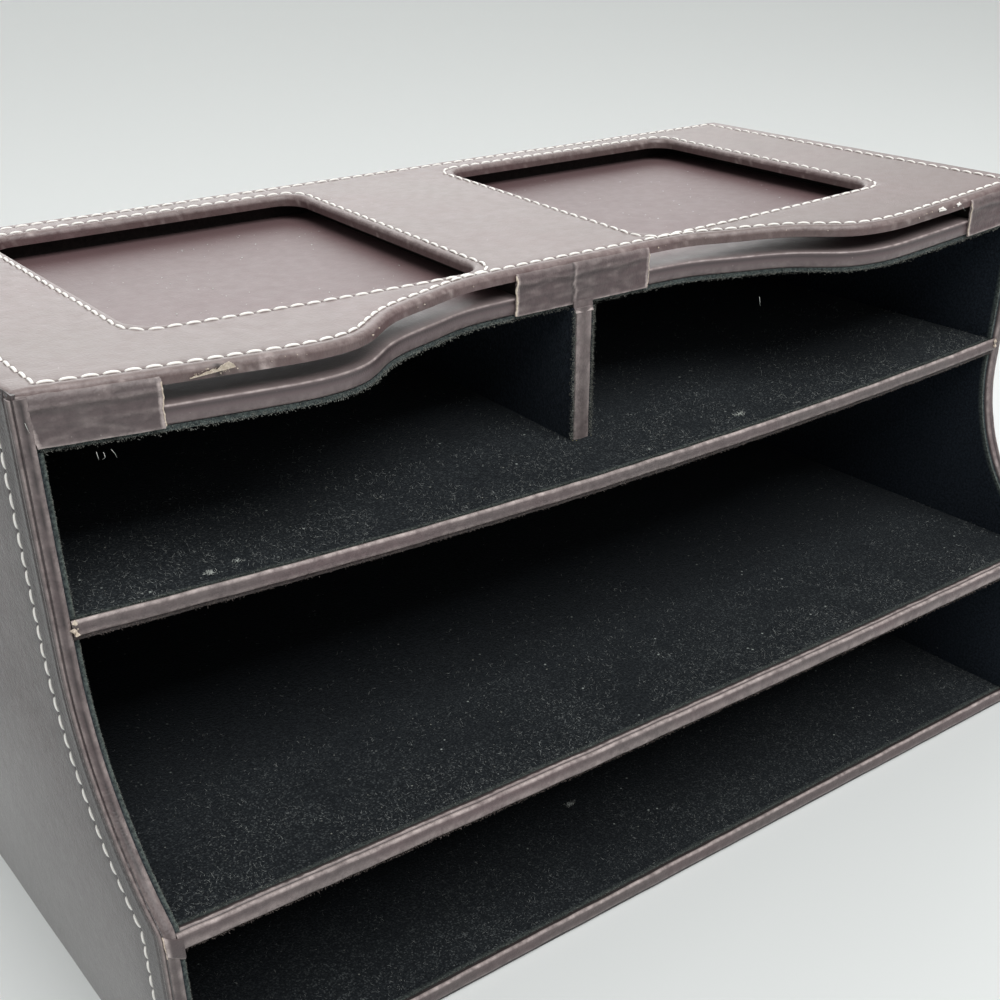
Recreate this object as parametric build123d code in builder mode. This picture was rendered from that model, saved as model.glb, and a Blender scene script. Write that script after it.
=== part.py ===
"""Open valet organiser: thin boards wrapped in leather outside and lined with velvet inside.

The box has four open compartments, one above the other with the top one divided, and a flat
photo pocket under a top frame with two windows.  x runs across the front, y from front to back
and z up.  The origin is the middle of the footprint, on the table top.  Millimetres.
"""

from math import acos, degrees, sin
import os

from build123d import *

# Overall size
WIDTH = 310.0
DEPTH = 164.0
HEIGHT = 168.0

# Sheet materials
LEATHER = 0.9
SIDE_LEATHER = 1.0
VELVET = 1.1
BASE_FELT = 0.8
TAB_LEATHER = 0.8

# Boards
SIDE_BOARD = 2.9
BACK_BOARD = 3.0
BOTTOM_BOARD = 3.5
SHELF_BOARD = 2.4
DIVIDER_BOARD = 4.6
POCKET_BOARD = 2.5
FRAME_BOARD = 2.5
POCKET_GAP = 3.8

# Heights of the floors, each measured on top of its velvet, at the side walls
LOWER_SHELF_TOP = 58.7
UPPER_SHELF_TOP = 120.0

# The old shelves and the top have sunk in the middle of their front edges
TOP_SAG = 4.3
LOWER_SHELF_SAG = 1.1
SAG_LINE = -50.0

# Side profile: upright above, a scooped sweep forward, upright again at the foot
UPPER_FRONT = -51.2
LOWER_FRONT = -81.5
SCOOP_RADIUS = 60.0
SCOOP_TOP = 112.0
LIP_RADIUS = 4.0
RAW_EDGE_SETBACK = 0.6

# Leather edges of the shelves
UPPER_SHELF_FRONT = -52.0
LOWER_SHELF_FRONT = -82.0
BOTTOM_FRONT = -81.0
UPPER_SHELF_TURN_IN = 1.8
LOWER_SHELF_TURN_IN = 3.2
BOTTOM_TURN_IN = 2.2

# Curly front edge of the top: corners, forward shoulders, recess in the middle
CORNER_Y = -50.5
SHOULDER = (96.0, -53.3)
SHOULDER_END = (76.0, -48.8)
RECESS_START = (66.0, -41.0)
RECESS_BEND = (50.0, -34.2)
RECESS_Y = -28.3

# Windows of the top frame and the photo pocket under them
WINDOW_WIDTH = 90.6
WINDOW_DEPTH = 92.4
WINDOW_X = 72.3
WINDOW_Y = 23.2
WINDOW_RADIUS = 7.0
SIDE_SPACER_FROM = 128.0
CENTRE_SPACER_HALF = 20.0
REAR_SPACER = 4.0

# Leather tabs that close the pocket at its corners and middle
CORNER_TAB_FROM = 126.0
CENTRE_TAB_HALF = 22.0
TAB_TOP = 166.8

DIVIDER_FRONT = -30.0
COVER_TOP = 167.4
ROLLED_EDGE = 0.5

# Worked out
HALF_WIDTH = WIDTH / 2
BACK = DEPTH / 2
BOARD_OUT = HALF_WIDTH - SIDE_LEATHER
BOARD_IN = BOARD_OUT - SIDE_BOARD
WALL_FACE = BOARD_IN - VELVET
BACK_BOARD_OUT = BACK - LEATHER
BACK_BOARD_IN = BACK_BOARD_OUT - BACK_BOARD
BACK_FACE = BACK_BOARD_IN - VELVET
BOTTOM_BOARD_TOP = BASE_FELT + BOTTOM_BOARD
BOTTOM_TOP = BOTTOM_BOARD_TOP + VELVET
SHELF = SHELF_BOARD + 2 * VELVET
FRAME_BOTTOM = HEIGHT - LEATHER - FRAME_BOARD
POCKET_TOP = FRAME_BOTTOM - POCKET_GAP
POCKET_BOTTOM = POCKET_TOP - POCKET_BOARD - 2 * LEATHER
CEILING = POCKET_BOTTOM - VELVET
DIVIDER_HALF = DIVIDER_BOARD / 2
DIVIDER_FACE = DIVIDER_HALF + VELVET
SPARE = 3.0
FAR = 400.0
STOCK_FRONT = -90.0


def save(piece, name):
    """Label one finished piece and write its file."""
    piece.part.label = name
    export_step(piece.part, f"parts/{name}.step")


def drop(y, sag):
    """How far the middle of a sunken layer lies below its ends, at depth y."""
    return sag * (BACK_FACE - y) / (BACK_FACE - SAG_LINE)


def layer_section(y, bottom, top, fall):
    """Cross-section of a layer at depth y, between the side walls: two arcs that fall together."""
    with BuildSketch(Plane.XZ.offset(-y)) as section:
        with BuildLine():
            for z in (bottom, top):
                if fall > 0:
                    ThreePointArc((-WALL_FACE, z), (0, z - fall), (WALL_FACE, z))
                else:
                    Line((-WALL_FACE, z), (WALL_FACE, z))
            for x in (-WALL_FACE, WALL_FACE):
                Line((x, bottom), (x, top))
        make_face()
    return section.sketch


def sunken_layer(bottom, top, sag):
    """Sheet stock that is level along the walls and the back, and sinks at its front middle.

    Every layer of one sag is ruled between the same two depths, so stacked layers meet exactly.
    """
    level = layer_section(BACK_FACE, bottom, top, 0)
    sunk = layer_section(STOCK_FRONT, bottom, top, drop(STOCK_FRONT, sag))
    with BuildPart() as layer:
        loft([level, sunk], ruled=True)
        with BuildSketch(Plane.XY.offset(bottom)):
            with Locations((0, (STOCK_FRONT + BACK) / 2)):
                Rectangle(WIDTH, BACK - STOCK_FRONT)
            with Locations((0, (STOCK_FRONT + BACK_FACE) / 2)):
                Rectangle(2 * WALL_FACE, BACK_FACE - STOCK_FRONT, mode=Mode.SUBTRACT)
        extrude(amount=top - bottom)
    return layer.part


def cut_to(stock, plan):
    """Sheet stock trimmed straight down to a plan."""
    with BuildPart() as trimmed:
        add(stock)
        extrude(plan, amount=HEIGHT, dir=(0, 0, 1), mode=Mode.INTERSECT)
    return trimmed.part


def strip_plan(left, right, front, back):
    """Rectangular plan between two x and two y values."""
    with BuildSketch() as plan:
        with Locations(((left + right) / 2, (front + back) / 2)):
            Rectangle(right - left, back - front)
    return plan.sketch


def side_outline(plane, inset, bottom, top, back):
    """Side profile between two heights, its front edge set back by inset."""
    centre_y = UPPER_FRONT - SCOOP_RADIUS
    radius = SCOOP_RADIUS + inset
    foot_y = LOWER_FRONT + inset
    turn = acos((foot_y - centre_y) / radius)
    lip_z = SCOOP_TOP - radius * sin(turn)
    with BuildSketch(plane) as outline:
        with BuildLine():
            Polyline((foot_y, lip_z), (foot_y, 0), (back, 0), (back, HEIGHT),
                     (UPPER_FRONT + inset, HEIGHT), (UPPER_FRONT + inset, SCOOP_TOP))
            CenterArc((centre_y, SCOOP_TOP), radius, 0, -degrees(turn))
        make_face()
        fillet(outline.vertices().sort_by_distance((foot_y, lip_z))[0], LIP_RADIUS - inset)
        with Locations(((back + LOWER_FRONT) / 2, (bottom + top) / 2)):
            Rectangle(FAR, top - bottom, mode=Mode.INTERSECT)
    return outline.sketch


def runs_across(edge, y):
    """Whether an edge of a shelf's leather runs from side to side at depth y."""
    return abs(edge.center().Y - y) < 0.01 and abs(edge.tangent_at(0.5).X) > 0.5


def curly_outline(half, setback, back):
    """Plan of a top layer: straight sides and back, curly front edge moved back by setback."""
    with BuildSketch() as plan:
        with BuildLine() as edge:
            shape = [SHOULDER, SHOULDER_END, RECESS_START, RECESS_BEND, (0, RECESS_Y)]
            points = [(x, y + setback) for x, y in shape]
            Spline(*points, tangents=[(-1, 0), (-1, 0)])
            Polyline((0, BACK), (HALF_WIDTH, BACK), (HALF_WIDTH, CORNER_Y + setback), points[0])
            mirror(about=Plane.YZ)
        make_face(edge.edges())
        with Locations((0, (back + STOCK_FRONT) / 2)):
            Rectangle(2 * half, back - STOCK_FRONT, mode=Mode.INTERSECT)
    return plan.sketch


def windows(grow):
    """The two window openings of the top frame, grown by the given amount all round."""
    with BuildSketch() as holes:
        with Locations((-WINDOW_X, WINDOW_Y), (WINDOW_X, WINDOW_Y)):
            RectangleRounded(WINDOW_WIDTH + 2 * grow, WINDOW_DEPTH + 2 * grow,
                             WINDOW_RADIUS + grow)
    return holes.sketch


os.makedirs("parts", exist_ok=True)

# Side walls: board, outer leather and the leather strip over the scooped front edge
for side, out in (("left", -1), ("right", 1)):
    inner = Plane.YZ.offset(out * BOARD_IN)
    outer = Plane.YZ.offset(out * BOARD_OUT)
    outward = (out, 0, 0)

    with BuildPart() as side_board:
        profile = side_outline(inner, LEATHER, BASE_FELT, FRAME_BOTTOM, BACK_BOARD_OUT)
        extrude(profile, amount=SIDE_BOARD, dir=outward)
    save(side_board, f"{side}_side_board")

    with BuildPart() as side_cover:
        profile = side_outline(outer, 0, 0, COVER_TOP, BACK_BOARD_OUT)
        extrude(profile, amount=SIDE_LEATHER, dir=outward)
        rim = side_cover.faces().sort_by(Axis.X)[0 if out < 0 else -1].edges()
        fillet(rim.filter_by(lambda edge: edge.center().Z > 0 and edge.center().Y < BACK / 2),
               ROLLED_EDGE)
    save(side_cover, f"{side}_side_cover")

    with BuildPart() as edge_strip:
        profile = side_outline(inner, 0, 0, FRAME_BOTTOM, BACK_BOARD_OUT)
        extrude(profile, amount=SIDE_BOARD, dir=outward)
        behind = side_outline(inner, LEATHER, -SPARE, HEIGHT, BACK)
        extrude(behind, amount=SIDE_BOARD, dir=outward, mode=Mode.SUBTRACT)
    save(edge_strip, f"{side}_edge_strip")

# Back, bottom and base
back_sheets = (
    ("back_board", 2 * BOARD_IN, BASE_FELT, FRAME_BOTTOM, BACK_BOARD_IN, BACK_BOARD),
    ("back_cover", WIDTH, 0, COVER_TOP, BACK_BOARD_OUT, LEATHER),
)
for name, width, bottom, top, front, thickness in back_sheets:
    with BuildPart() as back_sheet:
        with BuildSketch(Plane.XZ.offset(-front)):
            with Locations((0, (bottom + top) / 2)):
                Rectangle(width, top - bottom)
        extrude(amount=-thickness)
    save(back_sheet, name)

flat_sheets = (
    ("base_felt", 2 * BOARD_OUT, BOTTOM_FRONT + LEATHER, BACK_BOARD_OUT, 0, BASE_FELT),
    ("bottom_board", 2 * BOARD_IN, BOTTOM_FRONT + LEATHER, BACK_BOARD_IN, BASE_FELT,
     BOTTOM_BOARD_TOP),
    ("lower_floor_lining", 2 * BOARD_IN, BOTTOM_FRONT + BOTTOM_TURN_IN, BACK_BOARD_IN,
     BOTTOM_BOARD_TOP, BOTTOM_TOP),
)
for name, width, front, back, bottom, top in flat_sheets:
    with BuildPart() as flat_sheet:
        with BuildSketch(Plane.XY.offset(bottom)):
            with Locations((0, (front + back) / 2)):
                Rectangle(width, back - front)
        extrude(amount=top - bottom)
    save(flat_sheet, name)

with BuildPart() as bottom_edge:
    with BuildSketch(Plane.YZ.offset(-BOARD_IN)):
        with BuildLine():
            Polyline((BOTTOM_FRONT, 0), (BOTTOM_FRONT + LEATHER, 0),
                     (BOTTOM_FRONT + LEATHER, BOTTOM_BOARD_TOP),
                     (BOTTOM_FRONT + BOTTOM_TURN_IN, BOTTOM_BOARD_TOP),
                     (BOTTOM_FRONT + BOTTOM_TURN_IN, BOTTOM_TOP),
                     (BOTTOM_FRONT, BOTTOM_TOP), close=True)
        make_face()
    extrude(amount=2 * BOARD_IN)
    fillet(bottom_edge.edges().filter_by(Axis.X).group_by(Axis.Y)[0].sort_by(Axis.Z)[-1],
           ROLLED_EDGE)
save(bottom_edge, "bottom_edge")

# Shelves: a thin board between two velvets, with a leather edge turned in over both
shelves = (
    ("upper", "upper", "middle", UPPER_SHELF_TOP, TOP_SAG, UPPER_SHELF_FRONT,
     UPPER_SHELF_TURN_IN),
    ("lower", "middle", "lower", LOWER_SHELF_TOP, LOWER_SHELF_SAG, LOWER_SHELF_FRONT,
     LOWER_SHELF_TURN_IN),
)
for shelf, above, below, top, sag, front, turn_in in shelves:
    bottom = top - SHELF
    board_front, velvet_front = front + LEATHER, front + turn_in
    board_stock = sunken_layer(bottom + VELVET, top - VELVET, sag)
    board_plan = strip_plan(-BOARD_IN, BOARD_IN, board_front, BACK_BOARD_IN)
    velvet_plan = strip_plan(-BOARD_IN, BOARD_IN, velvet_front, BACK_BOARD_IN)

    with BuildPart() as shelf_board:
        add(cut_to(board_stock, board_plan))
    save(shelf_board, f"{shelf}_shelf_board")

    with BuildPart() as floor_lining:
        add(cut_to(sunken_layer(top - VELVET, top, sag), velvet_plan))
    save(floor_lining, f"{above}_floor_lining")

    with BuildPart() as under_lining:
        add(cut_to(sunken_layer(bottom, bottom + VELVET, sag), velvet_plan))
    save(under_lining, f"{below}_ceiling_lining")

    with BuildPart() as shelf_edge:
        add(cut_to(sunken_layer(bottom, top, sag),
                   strip_plan(-BOARD_IN, BOARD_IN, front, velvet_front)))
        add(cut_to(board_stock, strip_plan(-FAR, FAR, board_front, BACK)), mode=Mode.SUBTRACT)
        front_edges = shelf_edge.edges().filter_by(lambda edge: runs_across(edge, front))
        fillet(front_edges.sort_by(Axis.Z)[-3:], ROLLED_EDGE)
    save(shelf_edge, f"{shelf}_shelf_edge")

# Top: the pocket floor wrapped in leather, and the velvet ceiling under it
curly = curly_outline(BOARD_IN, 0, BACK_BOARD_IN)
pocket_stock = sunken_layer(POCKET_BOTTOM + LEATHER, POCKET_TOP - LEATHER, TOP_SAG)

with BuildPart() as pocket_floor_board:
    add(cut_to(pocket_stock, curly_outline(BOARD_IN, LEATHER, BACK_BOARD_IN)))
save(pocket_floor_board, "pocket_floor_board")

with BuildPart() as pocket_floor_cover:
    add(cut_to(sunken_layer(POCKET_BOTTOM, POCKET_TOP, TOP_SAG), curly))
    add(cut_to(pocket_stock, curly_outline(HALF_WIDTH, LEATHER, BACK)), mode=Mode.SUBTRACT)
save(pocket_floor_cover, "pocket_floor_cover")

with BuildPart() as upper_ceiling_lining:
    add(cut_to(sunken_layer(CEILING, POCKET_BOTTOM, TOP_SAG),
               curly_outline(BOARD_IN, RAW_EDGE_SETBACK, BACK_BOARD_IN)))
save(upper_ceiling_lining, "upper_ceiling_lining")

# Spacers that keep the photo pocket open
gap_stock = sunken_layer(POCKET_TOP, FRAME_BOTTOM, TOP_SAG)
spacer_back = BACK_BOARD_IN - REAR_SPACER
spacers = (
    ("left_spacer", -BOARD_IN, -SIDE_SPACER_FROM, STOCK_FRONT, spacer_back),
    ("centre_spacer", -CENTRE_SPACER_HALF, CENTRE_SPACER_HALF, STOCK_FRONT, spacer_back),
    ("right_spacer", SIDE_SPACER_FROM, BOARD_IN, STOCK_FRONT, spacer_back),
    ("rear_spacer", -BOARD_IN, BOARD_IN, spacer_back, BACK_BOARD_IN),
)
for name, left, right, front, back in spacers:
    with BuildSketch() as spacer_plan:
        add(curly)
        add(strip_plan(left, right, front, back), mode=Mode.INTERSECT)
    with BuildPart() as spacer:
        add(cut_to(gap_stock, spacer_plan.sketch))
    save(spacer, name)

# Frame with two windows: a board, and a leather skin over its top and round every edge
with BuildSketch() as frame_plan:
    add(curly_outline(BOARD_OUT, 0, BACK_BOARD_OUT))
    add(windows(0), mode=Mode.SUBTRACT)
with BuildSketch() as frame_board_plan:
    add(curly_outline(BOARD_OUT - LEATHER, LEATHER, BACK_BOARD_OUT - LEATHER))
    add(windows(LEATHER), mode=Mode.SUBTRACT)

with BuildPart() as top_frame_board:
    add(cut_to(sunken_layer(FRAME_BOTTOM, HEIGHT - LEATHER, TOP_SAG), frame_board_plan.sketch))
save(top_frame_board, "top_frame_board")

with BuildPart() as top_frame_cover:
    add(cut_to(sunken_layer(FRAME_BOTTOM, HEIGHT, TOP_SAG), frame_plan.sketch))
    add(cut_to(sunken_layer(FRAME_BOTTOM - SPARE, HEIGHT - LEATHER, TOP_SAG),
               frame_board_plan.sketch), mode=Mode.SUBTRACT)
save(top_frame_cover, "top_frame_cover")

# Leather tabs over the front of the pocket
tab_stock = sunken_layer(POCKET_BOTTOM, TAB_TOP, TOP_SAG)
tabs = (
    ("left_corner_tab", -BOARD_IN, -CORNER_TAB_FROM),
    ("centre_tab", -CENTRE_TAB_HALF, CENTRE_TAB_HALF),
    ("right_corner_tab", CORNER_TAB_FROM, BOARD_IN),
)
for name, left, right in tabs:
    with BuildSketch() as tab_plan:
        add(curly_outline(BOARD_IN, -TAB_LEATHER, BACK))
        add(curly_outline(BOARD_OUT, 0, BACK), mode=Mode.SUBTRACT)
        add(strip_plan(left, right, STOCK_FRONT, BACK), mode=Mode.INTERSECT)
    with BuildPart() as tab:
        add(cut_to(tab_stock, tab_plan.sketch))
    save(tab, name)

# Divider of the upper compartment: board, velvet on both sides and a leather front edge
divider_stock = sunken_layer(UPPER_SHELF_TOP, CEILING, TOP_SAG)
divider_back_of_edge = DIVIDER_FRONT + LEATHER
divider_sheets = (
    ("divider_board", -DIVIDER_HALF, DIVIDER_HALF, divider_back_of_edge, BACK_FACE),
    ("divider_left_lining", -DIVIDER_FACE, -DIVIDER_HALF, divider_back_of_edge, BACK_FACE),
    ("divider_right_lining", DIVIDER_HALF, DIVIDER_FACE, divider_back_of_edge, BACK_FACE),
    ("divider_edge", -DIVIDER_FACE, DIVIDER_FACE, DIVIDER_FRONT, divider_back_of_edge),
)
for name, left, right, front, back in divider_sheets:
    with BuildPart() as divider_sheet:
        add(cut_to(divider_stock, strip_plan(left, right, front, back)))
    save(divider_sheet, name)

# Velvet on the walls and the back of each compartment
compartments = (
    ("lower", BOTTOM_TOP, LOWER_SHELF_TOP - SHELF),
    ("middle", LOWER_SHELF_TOP, UPPER_SHELF_TOP - SHELF),
    ("upper", UPPER_SHELF_TOP, CEILING),
)
for name, bottom, top in compartments:
    for side, out in (("left", -1), ("right", 1)):
        inner = Plane.YZ.offset(out * WALL_FACE)
        with BuildPart() as wall_lining:
            profile = side_outline(inner, RAW_EDGE_SETBACK, bottom, top, BACK_BOARD_IN)
            extrude(profile, amount=VELVET, dir=(out, 0, 0))
        save(wall_lining, f"{side}_{name}_wall_lining")

    with BuildPart() as back_lining:
        with BuildSketch(Plane.XZ.offset(-BACK_FACE)):
            with Locations((0, (bottom + top) / 2)):
                Rectangle(2 * WALL_FACE, top - bottom)
        extrude(amount=-VELVET)
    save(back_lining, f"{name}_back_lining")
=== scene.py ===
# %% [markdown]
# # An old leather valet organiser
# The organiser is a box of thin boards. Brown leather covers its outside and its edges, black velvet
# lines its compartments, and a machine has sewn it with pale thread. The construction model brings
# the boards, skins and linings as plain solids at their real places. This lesson dresses them: each
# skin, lining, line of thread and worn spot becomes a mesh of its own, in the same frame.
#
# All sizes below are in millimetres, and meshes are scaled to metres when they are made.

import math

import bpy
import numpy as np
from mathutils import Matrix, Vector, noise
from mathutils.geometry import delaunay_2d_cdt


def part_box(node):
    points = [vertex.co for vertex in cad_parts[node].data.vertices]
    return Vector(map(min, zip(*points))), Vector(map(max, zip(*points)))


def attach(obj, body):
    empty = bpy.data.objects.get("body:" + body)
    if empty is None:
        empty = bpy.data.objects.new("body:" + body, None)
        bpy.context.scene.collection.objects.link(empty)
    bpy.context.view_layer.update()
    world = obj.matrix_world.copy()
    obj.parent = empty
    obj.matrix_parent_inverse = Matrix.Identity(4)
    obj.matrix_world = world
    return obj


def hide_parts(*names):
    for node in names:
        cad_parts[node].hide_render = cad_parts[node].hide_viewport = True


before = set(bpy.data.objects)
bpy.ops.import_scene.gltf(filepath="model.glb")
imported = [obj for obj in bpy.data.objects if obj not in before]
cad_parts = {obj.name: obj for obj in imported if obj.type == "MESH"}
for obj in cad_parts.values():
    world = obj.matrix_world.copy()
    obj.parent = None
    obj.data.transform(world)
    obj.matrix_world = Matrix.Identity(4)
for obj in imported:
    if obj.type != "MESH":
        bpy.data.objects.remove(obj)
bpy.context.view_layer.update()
MM = 0.001
print("construction nodes:", len(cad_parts))

# %% [markdown]
# ## Sizes that the dressing needs
# Skins and linings are glued to boards, so their places are the boards' places. They could be typed in
# again, but then the dressing would drift away from the construction when a board changes. So each
# place is read from a node: `extent` gives a node's lowest and highest coordinate along one axis.

# %% Read places from the construction
X, Y, Z = 0, 1, 2


def extent(node, axis):
    """Lowest and highest coordinate of a construction node along one axis, in millimetres."""
    low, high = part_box(node)
    return low[axis] / MM, high[axis] / MM


TOP = extent("top_frame_cover", Z)[1]
FRAME_BOTTOM = extent("left_side_board", Z)[1]
WALL = extent("left_upper_wall_lining", X)[1] * -1
BOARD_IN = -extent("left_upper_wall_lining", X)[0]
BOARD_OUT = -extent("left_side_board", X)[0]
HALF_WIDTH = -extent("left_side_cover", X)[0]
BACK = extent("back_cover", Y)[1]
BACK_FACE = extent("upper_back_lining", Y)[0]
COVER_TOP = extent("left_side_cover", Z)[1]
UPPER_FLOOR = extent("left_upper_wall_lining", Z)[0]
CEILING = extent("left_upper_wall_lining", Z)[1]
LOWER_FLOOR = extent("left_middle_wall_lining", Z)[0]
BOTTOM_TOP = extent("left_lower_wall_lining", Z)[0]
VELVET = BOARD_IN - WALL
LEATHER = 0.9
SHELF_THICK = 4.6
PHOTO_SLOT = 3.8
POCKET_BOTTOM = CEILING + VELVET
POCKET_TOP = FRAME_BOTTOM - PHOTO_SLOT
print("top", TOP, "wall", WALL, "ceiling", CEILING, "pocket", POCKET_BOTTOM, POCKET_TOP)

# %% [markdown]
# ## The sunken top and shelves
# Years of use have let the top and the shelves sink in the middle of their front edges. They are
# held level along the side walls and the back. A lattice or a cloth simulation could bend each layer,
# but separate bends would let leather and velvet drift apart. One formula that says how far any layer
# has sunk at a place keeps leather, velvet, thread and dust on the same bend.

# %% Sag
TOP_SAG = 4.3
LOWER_SAG = 1.1
SAG_LINE = -50.0


def sag(x, y, amount):
    """How far a sunken layer lies below level at a place in plan."""
    across = np.clip(1 - (np.asarray(x) / WALL) ** 2, 0, None)
    depth = np.clip((BACK_FACE - np.asarray(y)) / (BACK_FACE - SAG_LINE), 0, None)
    return amount * across * depth


print("top sinks", round(float(sag(0, SAG_LINE, TOP_SAG)), 2), "mm in the middle")

# %% [markdown]
# ## The curly front edge
# The front of the top swings in and out like a brace. Its line is needed by the top, the pocket, the
# tabs and the velvet. It is taken from the construction's own front faces and smoothed a little, which
# is surer than drawing the curve again. `curly` then gives the edge's depth at any place across.

# %% Curly front edge


def upright_front(node):
    """Front edge of a construction node in plan: the corners of its upright forward faces."""
    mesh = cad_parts[node].data
    corners = set()
    for face in mesh.polygons:
        if abs(face.normal.z) < 0.1 and face.normal.y < -0.2:
            for index in face.vertices:
                place = mesh.vertices[index].co / MM
                corners.add((round(place.x, 2), round(place.y, 2)))
    return np.array(sorted(corners))


RAW_EDGE_SETBACK = 0.6
curly_points = upright_front("upper_ceiling_lining")
fine_x = np.arange(-HALF_WIDTH, HALF_WIDTH + 0.01, 0.5)
fine_y = np.interp(fine_x, curly_points[:, 0], curly_points[:, 1]) - RAW_EDGE_SETBACK
fine_y = np.convolve(np.pad(fine_y, 3, "edge"), np.ones(7) / 7, "valid")


def curly(x):
    """Depth of the top's curly front edge at a place across the front."""
    return np.interp(x, fine_x, fine_y)


print("curly edge from", fine_y.min(), "to", fine_y.max(), "mm deep")

# %% [markdown]
# ## Lines with even steps
# Most pieces here follow a line: a seam, an edge, the scoop of a side. A curve object with a bevel
# could follow it too, but its points can't be painted or pressed one by one. So lines are lists of
# points. One helper spaces them evenly, and the other gives the direction at each point.

# %% Even steps and directions


def resample(path, spacing):
    """The same line with points at an even spacing."""
    steps = np.linalg.norm(np.diff(path, axis=0), axis=1)
    length = np.concatenate([[0], np.cumsum(steps)])
    count = max(2, int(round(length[-1] / spacing)) + 1)
    places = np.linspace(0, length[-1], count)
    return np.stack([np.interp(places, length, path[:, i]) for i in range(path.shape[1])], axis=1)


def tangents(path):
    """Unit direction of a line at each of its points."""
    steps = np.gradient(path, axis=0)
    return steps / np.linalg.norm(steps, axis=1, keepdims=True)


print("even steps:", len(resample(np.array([(0.0, 0.0), (10.0, 0.0)]), 1.0)), "points on 10 mm")

# %% [markdown]
# ## The scooped side profile
# Each side wall is upright at the top, then swings forward in a quarter-round scoop to its foot. The
# leather over its edge softens the corners where straight and round meet. A bevel would round them
# too. A running average does the same on the list of points, for any distance from the edge.

# %% Side profile
UPPER_FRONT = -51.2
LOWER_FRONT = -81.5
SCOOP_RADIUS = 60.0
SCOOP_TOP = 112.0


def side_path(inset, top, spacing):
    """Front profile of the side walls as (y, z) points from top to foot, moved back by inset."""
    centre_y = UPPER_FRONT - SCOOP_RADIUS
    radius = SCOOP_RADIUS + inset
    turn = math.acos((LOWER_FRONT + inset - centre_y) / radius)
    arc = np.linspace(0, turn, 80)
    points = [(UPPER_FRONT + inset, top)]
    points += [(centre_y + radius * math.cos(a), SCOOP_TOP - radius * math.sin(a)) for a in arc]
    points += [(LOWER_FRONT + inset, 0.0)]
    points = resample(np.array(points), 0.4)
    soft = max(1.2, (4.0 - inset) * 0.6)
    count = int(soft / 0.4) * 2 + 1
    padded = np.pad(points, ((count // 2, count // 2), (0, 0)), "reflect", reflect_type="odd")
    kernel = np.ones(count) / count
    smooth = np.stack([np.convolve(padded[:, i], kernel, "valid") for i in (0, 1)], axis=1)
    return resample(smooth, spacing)


print("side profile:", len(side_path(0.0, COVER_TOP, 1.0)), "points at 1 mm")

# %% [markdown]
# ## Camera
# The organiser is seen from the front left and from above, close enough for its lines to converge. A
# camera can be aimed by eye, but its place and angles here were solved from the straight edges of the
# box, so that every edge falls where it should. The matrix is built from three directions: right, above
# and ahead, with a small roll about the line of sight.

# %% Camera
CAMERA_PLACE = (-224.06, -291.50, 249.00)
TURNED = math.radians(36.522)
TIPPED = math.radians(31.112)
ROLLED = math.radians(-0.537)
LENS = 48.47
SHIFT = (0.0069, 0.17645)
SENSOR_WIDTH = 36

ahead = Vector((math.sin(TURNED) * math.cos(TIPPED), math.cos(TURNED) * math.cos(TIPPED),
                -math.sin(TIPPED)))
level = Vector((math.cos(TURNED), -math.sin(TURNED), 0))
upward = level.cross(ahead)
right = level * math.cos(ROLLED) + upward * math.sin(ROLLED)
above = upward * math.cos(ROLLED) - level * math.sin(ROLLED)
camera = bpy.data.objects.new("camera", bpy.data.cameras.new("camera"))
camera.data.lens = LENS
camera.data.sensor_width = SENSOR_WIDTH
camera.data.shift_x, camera.data.shift_y = SHIFT
camera.data.clip_start = 0.01
facing_way = Matrix((right, above, -ahead)).transposed().to_4x4()
camera.matrix_world = Matrix.Translation(Vector(CAMERA_PLACE) * MM) @ facing_way
scene = bpy.context.scene
scene.collection.objects.link(camera)
scene.camera = camera
scene.view_settings.view_transform = "Standard"
print("camera", tuple(round(v, 3) for v in camera.location), "lens", LENS)

# %% [markdown]
# ## Materials as node trees
# All finishes are procedural: noise and cells instead of pictures, so they work on any mesh without
# unwrapping it. Node trees get long in code, so a small helper adds a node, sets its plain values and
# links its inputs in one call. Colours are given as screen values and turned into linear light.

# %% Node helper


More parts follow.
